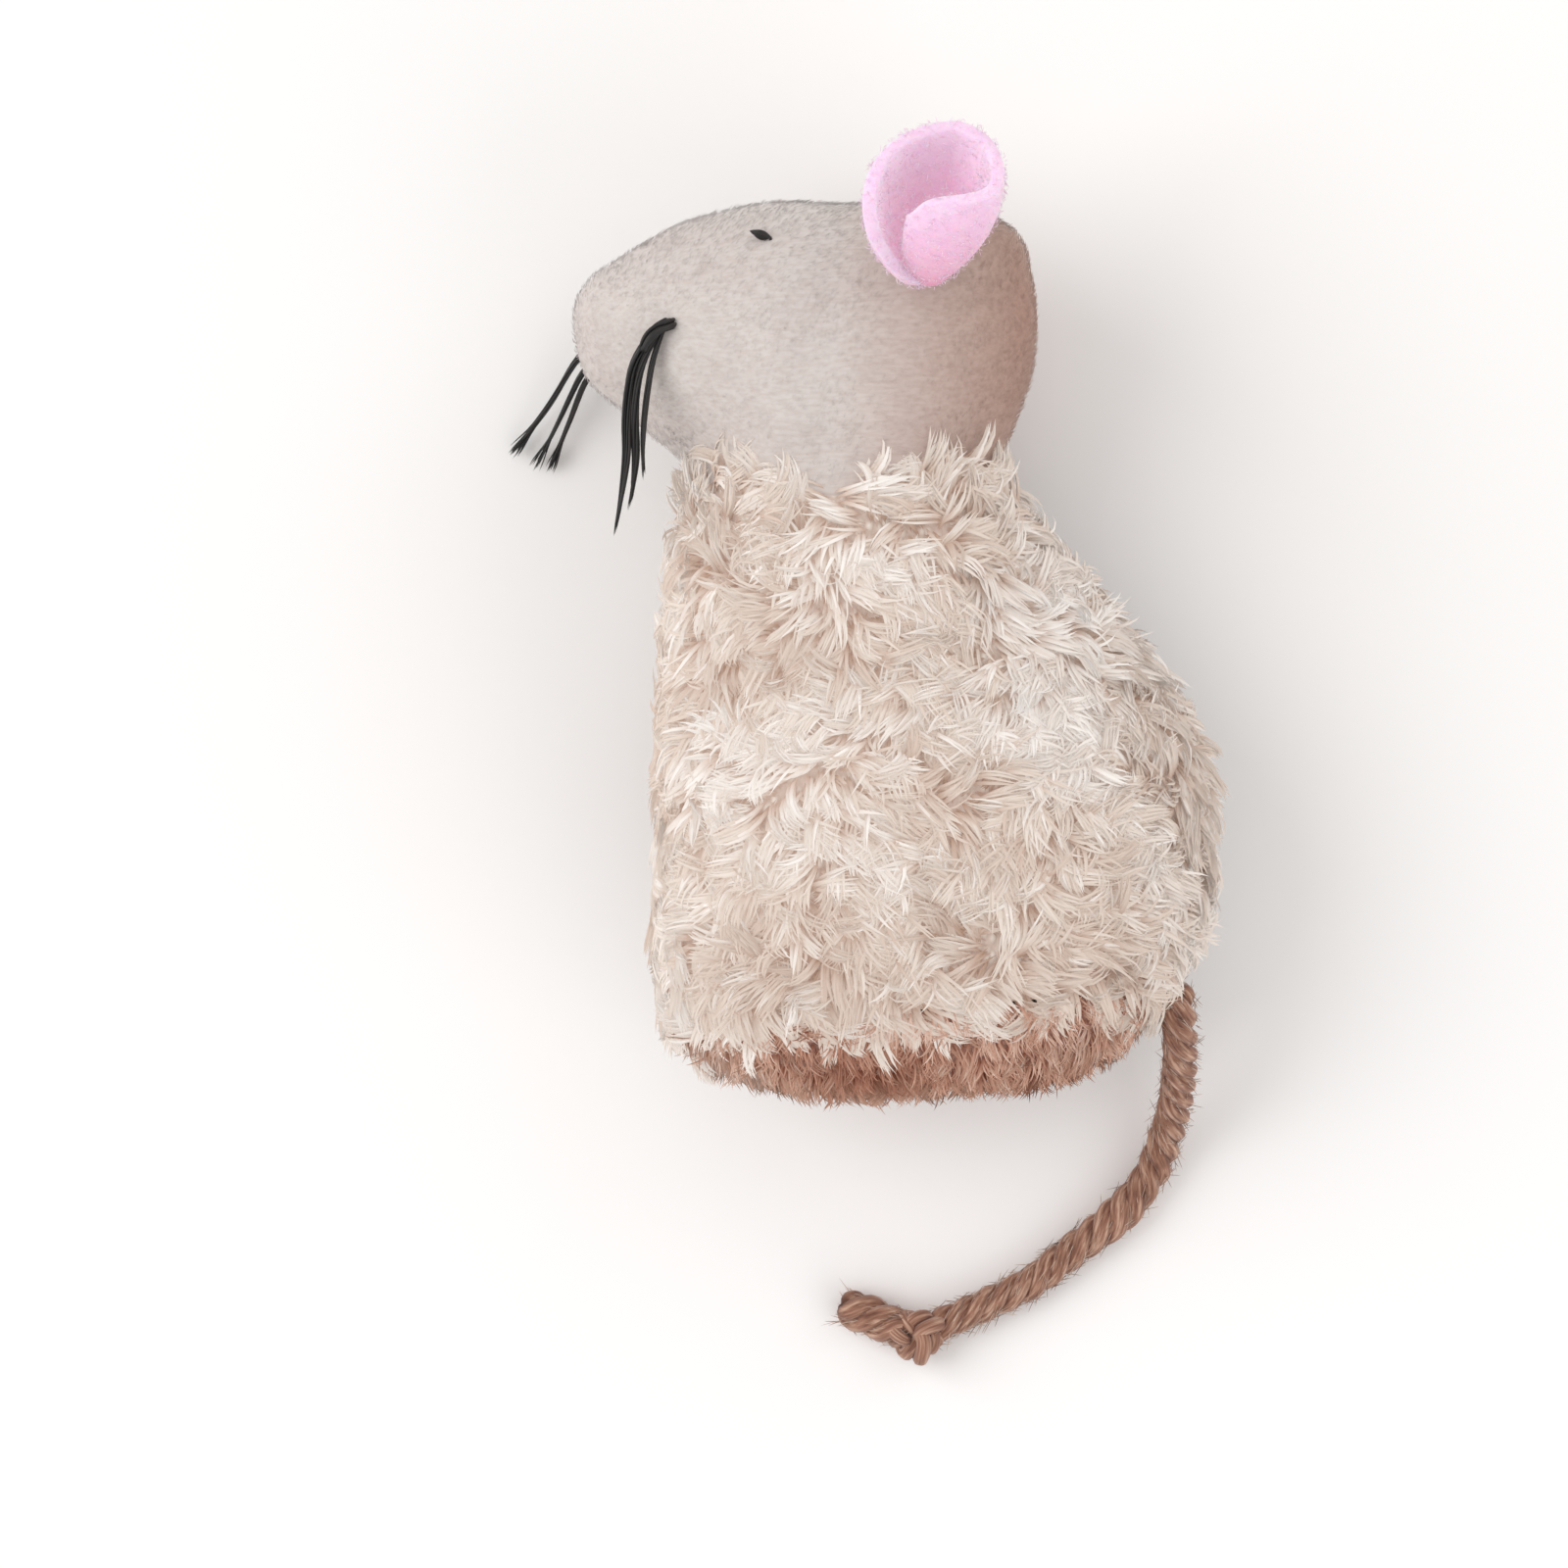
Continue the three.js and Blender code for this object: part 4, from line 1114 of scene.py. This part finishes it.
def felt_fuzz(name, obj, count, body_name, seed):
    """Short fibres standing off the felt."""
    rng = np.random.default_rng(seed)
    mesh = obj.data
    faces = len(mesh.polygons)
    centres, normals, area = np.zeros(3 * faces), np.zeros(3 * faces), np.zeros(faces)
    mesh.polygons.foreach_get("center", centres)
    mesh.polygons.foreach_get("normal", normals)
    mesh.polygons.foreach_get("area", area)
    chosen = rng.choice(len(area), count, p=area / area.sum())
    spread = np.sqrt(area[chosen])[:, None] / MM
    roots = centres.reshape(-1, 3)[chosen] / MM + rng.normal(0, 0.4, (count, 3)) * spread
    normals = normals.reshape(-1, 3)[chosen]
    way = tangent_to(normals, rng.normal(size=(count, 3)))
    lean = np.radians(rng.uniform(20, 70, count)), np.radians(rng.uniform(60, 110, count))
    lines = grown(roots, normals, way, lean, rng.normal(0, 0.6, count), rng.uniform(0.3, 0.65, count), 3)
    radii = rng.uniform(0.02, 0.035, (count, 1)) * NAP_TAPER
    dressed(fibres(name, lines, radii, rng.uniform(0, 1, count)), FELT_FUZZ, body_name, "pink_felt")


near_ear = thickened(rolled_ear(), FELT_THICKNESS)
near_ear.visible_diffuse = False  # thin felt lets the light through into its own hollow
dressed(near_ear, FELT, "ear_near", "pink_felt", "ear_near")
felt_fuzz("ear_near_fuzz", near_ear, 3500, "ear_near", 101)


def folded_ear():
    """The far ear: the same leaf folded in two along one side and pressed flat under the head."""
    low = np.array(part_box("ear_far")[0]) / MM
    across, up = 61, 36
    share = np.linspace(0.02, 1, up)[:, None]
    turn = np.linspace(-1, 1, across)[None]
    width = 4.5 * np.sin(np.pi * np.clip(share * 0.86 + 0.08, 0, 1)) ** 0.75
    x = width * (1 - 2 * np.abs(turn))
    y = -(EAR_FAR_ROOT[1] - low[1] - 0.4) * share + 0 * turn
    layers = FOLDED_LAYERS[0] + (FOLDED_LAYERS[1] - FOLDED_LAYERS[0]) * (0.5 + 0.5 * np.tanh(turn / 0.05))
    z = layers + 0.06 * np.sin(3 * share + x) + 0.9 * (1 - share) ** 5
    lean = math.radians(-12)
    at = np.stack([x * math.cos(lean) - y * math.sin(lean), x * math.sin(lean) + y * math.cos(lean), z], -1)
    at = at + (EAR_FAR_ROOT[0], EAR_FAR_ROOT[1], 0)
    obj = made("ear_far_felt", at.reshape(-1, 3), strips(up, across, closed=False))
    marked(obj, "rise", np.repeat(share.ravel(), across))
    return obj


far_ear = thickened(folded_ear(), PRESSED_FELT)
dressed(far_ear, FELT, "ear_far", "pink_felt", "ear_far")

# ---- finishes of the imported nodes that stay

SEWN = ("back_seam_thread", "belly_seam_thread", "head_seam_thread") + tuple(
    f"{seam}_seam_{side}" for seam in ("gusset", "neck") for side in ("near", "far")
)
KEPT = {name: SEAM_THREAD for name in SEWN} | {
    "tail_seam_end": JUTE, "ear_tack_near": PINK_THREAD, "ear_tack_far": PINK_THREAD,
    "whisker_through_thread": BLACK_THREAD,
}
for node, material in KEPT.items():
    kept = frame["nodes"][node]
    kept.data.materials.clear()
    kept.data.materials.append(material)

# ---- floor and light

LAMP_WIDTH = 1.2  # metres
FLOOR_DROP = 0.00002  # metres under the part, so that the two never share a plane


def floor():
    bpy.ops.mesh.primitive_plane_add(size=6, location=(0, 0, -FLOOR_DROP))
    plane = bpy.context.object
    plane.name = "floor"
    finish = Finish("floor", Roughness=0.9)
    finish.coloured(finish.ramp(finish.noise(finish.place(), 400), (0.4, "f7f6f5"), (0.6, "fbfafa")))
    plane.data.materials.append(finish.material)


def lamp(name, at, power):
    light = bpy.data.lights.new(name, "AREA")
    light.shape, light.size, light.energy = "DISK", LAMP_WIDTH, power
    obj = bpy.data.objects.new(name, light)
    obj.location = at
    obj.rotation_euler = (Vector((0, 0, 0.01)) - Vector(at)).to_track_quat("-Z", "Y").to_euler()
    bpy.context.scene.collection.objects.link(obj)


def daylight(strength):
    world = bpy.data.worlds.new("daylight")
    world.use_nodes = True
    sky = world.node_tree.nodes["Background"].inputs
    sky["Color"].default_value, sky["Strength"].default_value = (1, 0.985, 0.97, 1), strength
    bpy.context.scene.world = world


floor()
lamp("key", (-0.95, 0.2, 0.85), 8)
lamp("fill", (0.8, -0.7, 0.6), 3.5)
lamp("back", (0.75, 0.75, 0.55), 2)
daylight(0.7)
bpy.context.scene.view_settings.view_transform = "Standard"


def corners(bounds):
    return [[float(x) for x in corner] for corner in bounds]
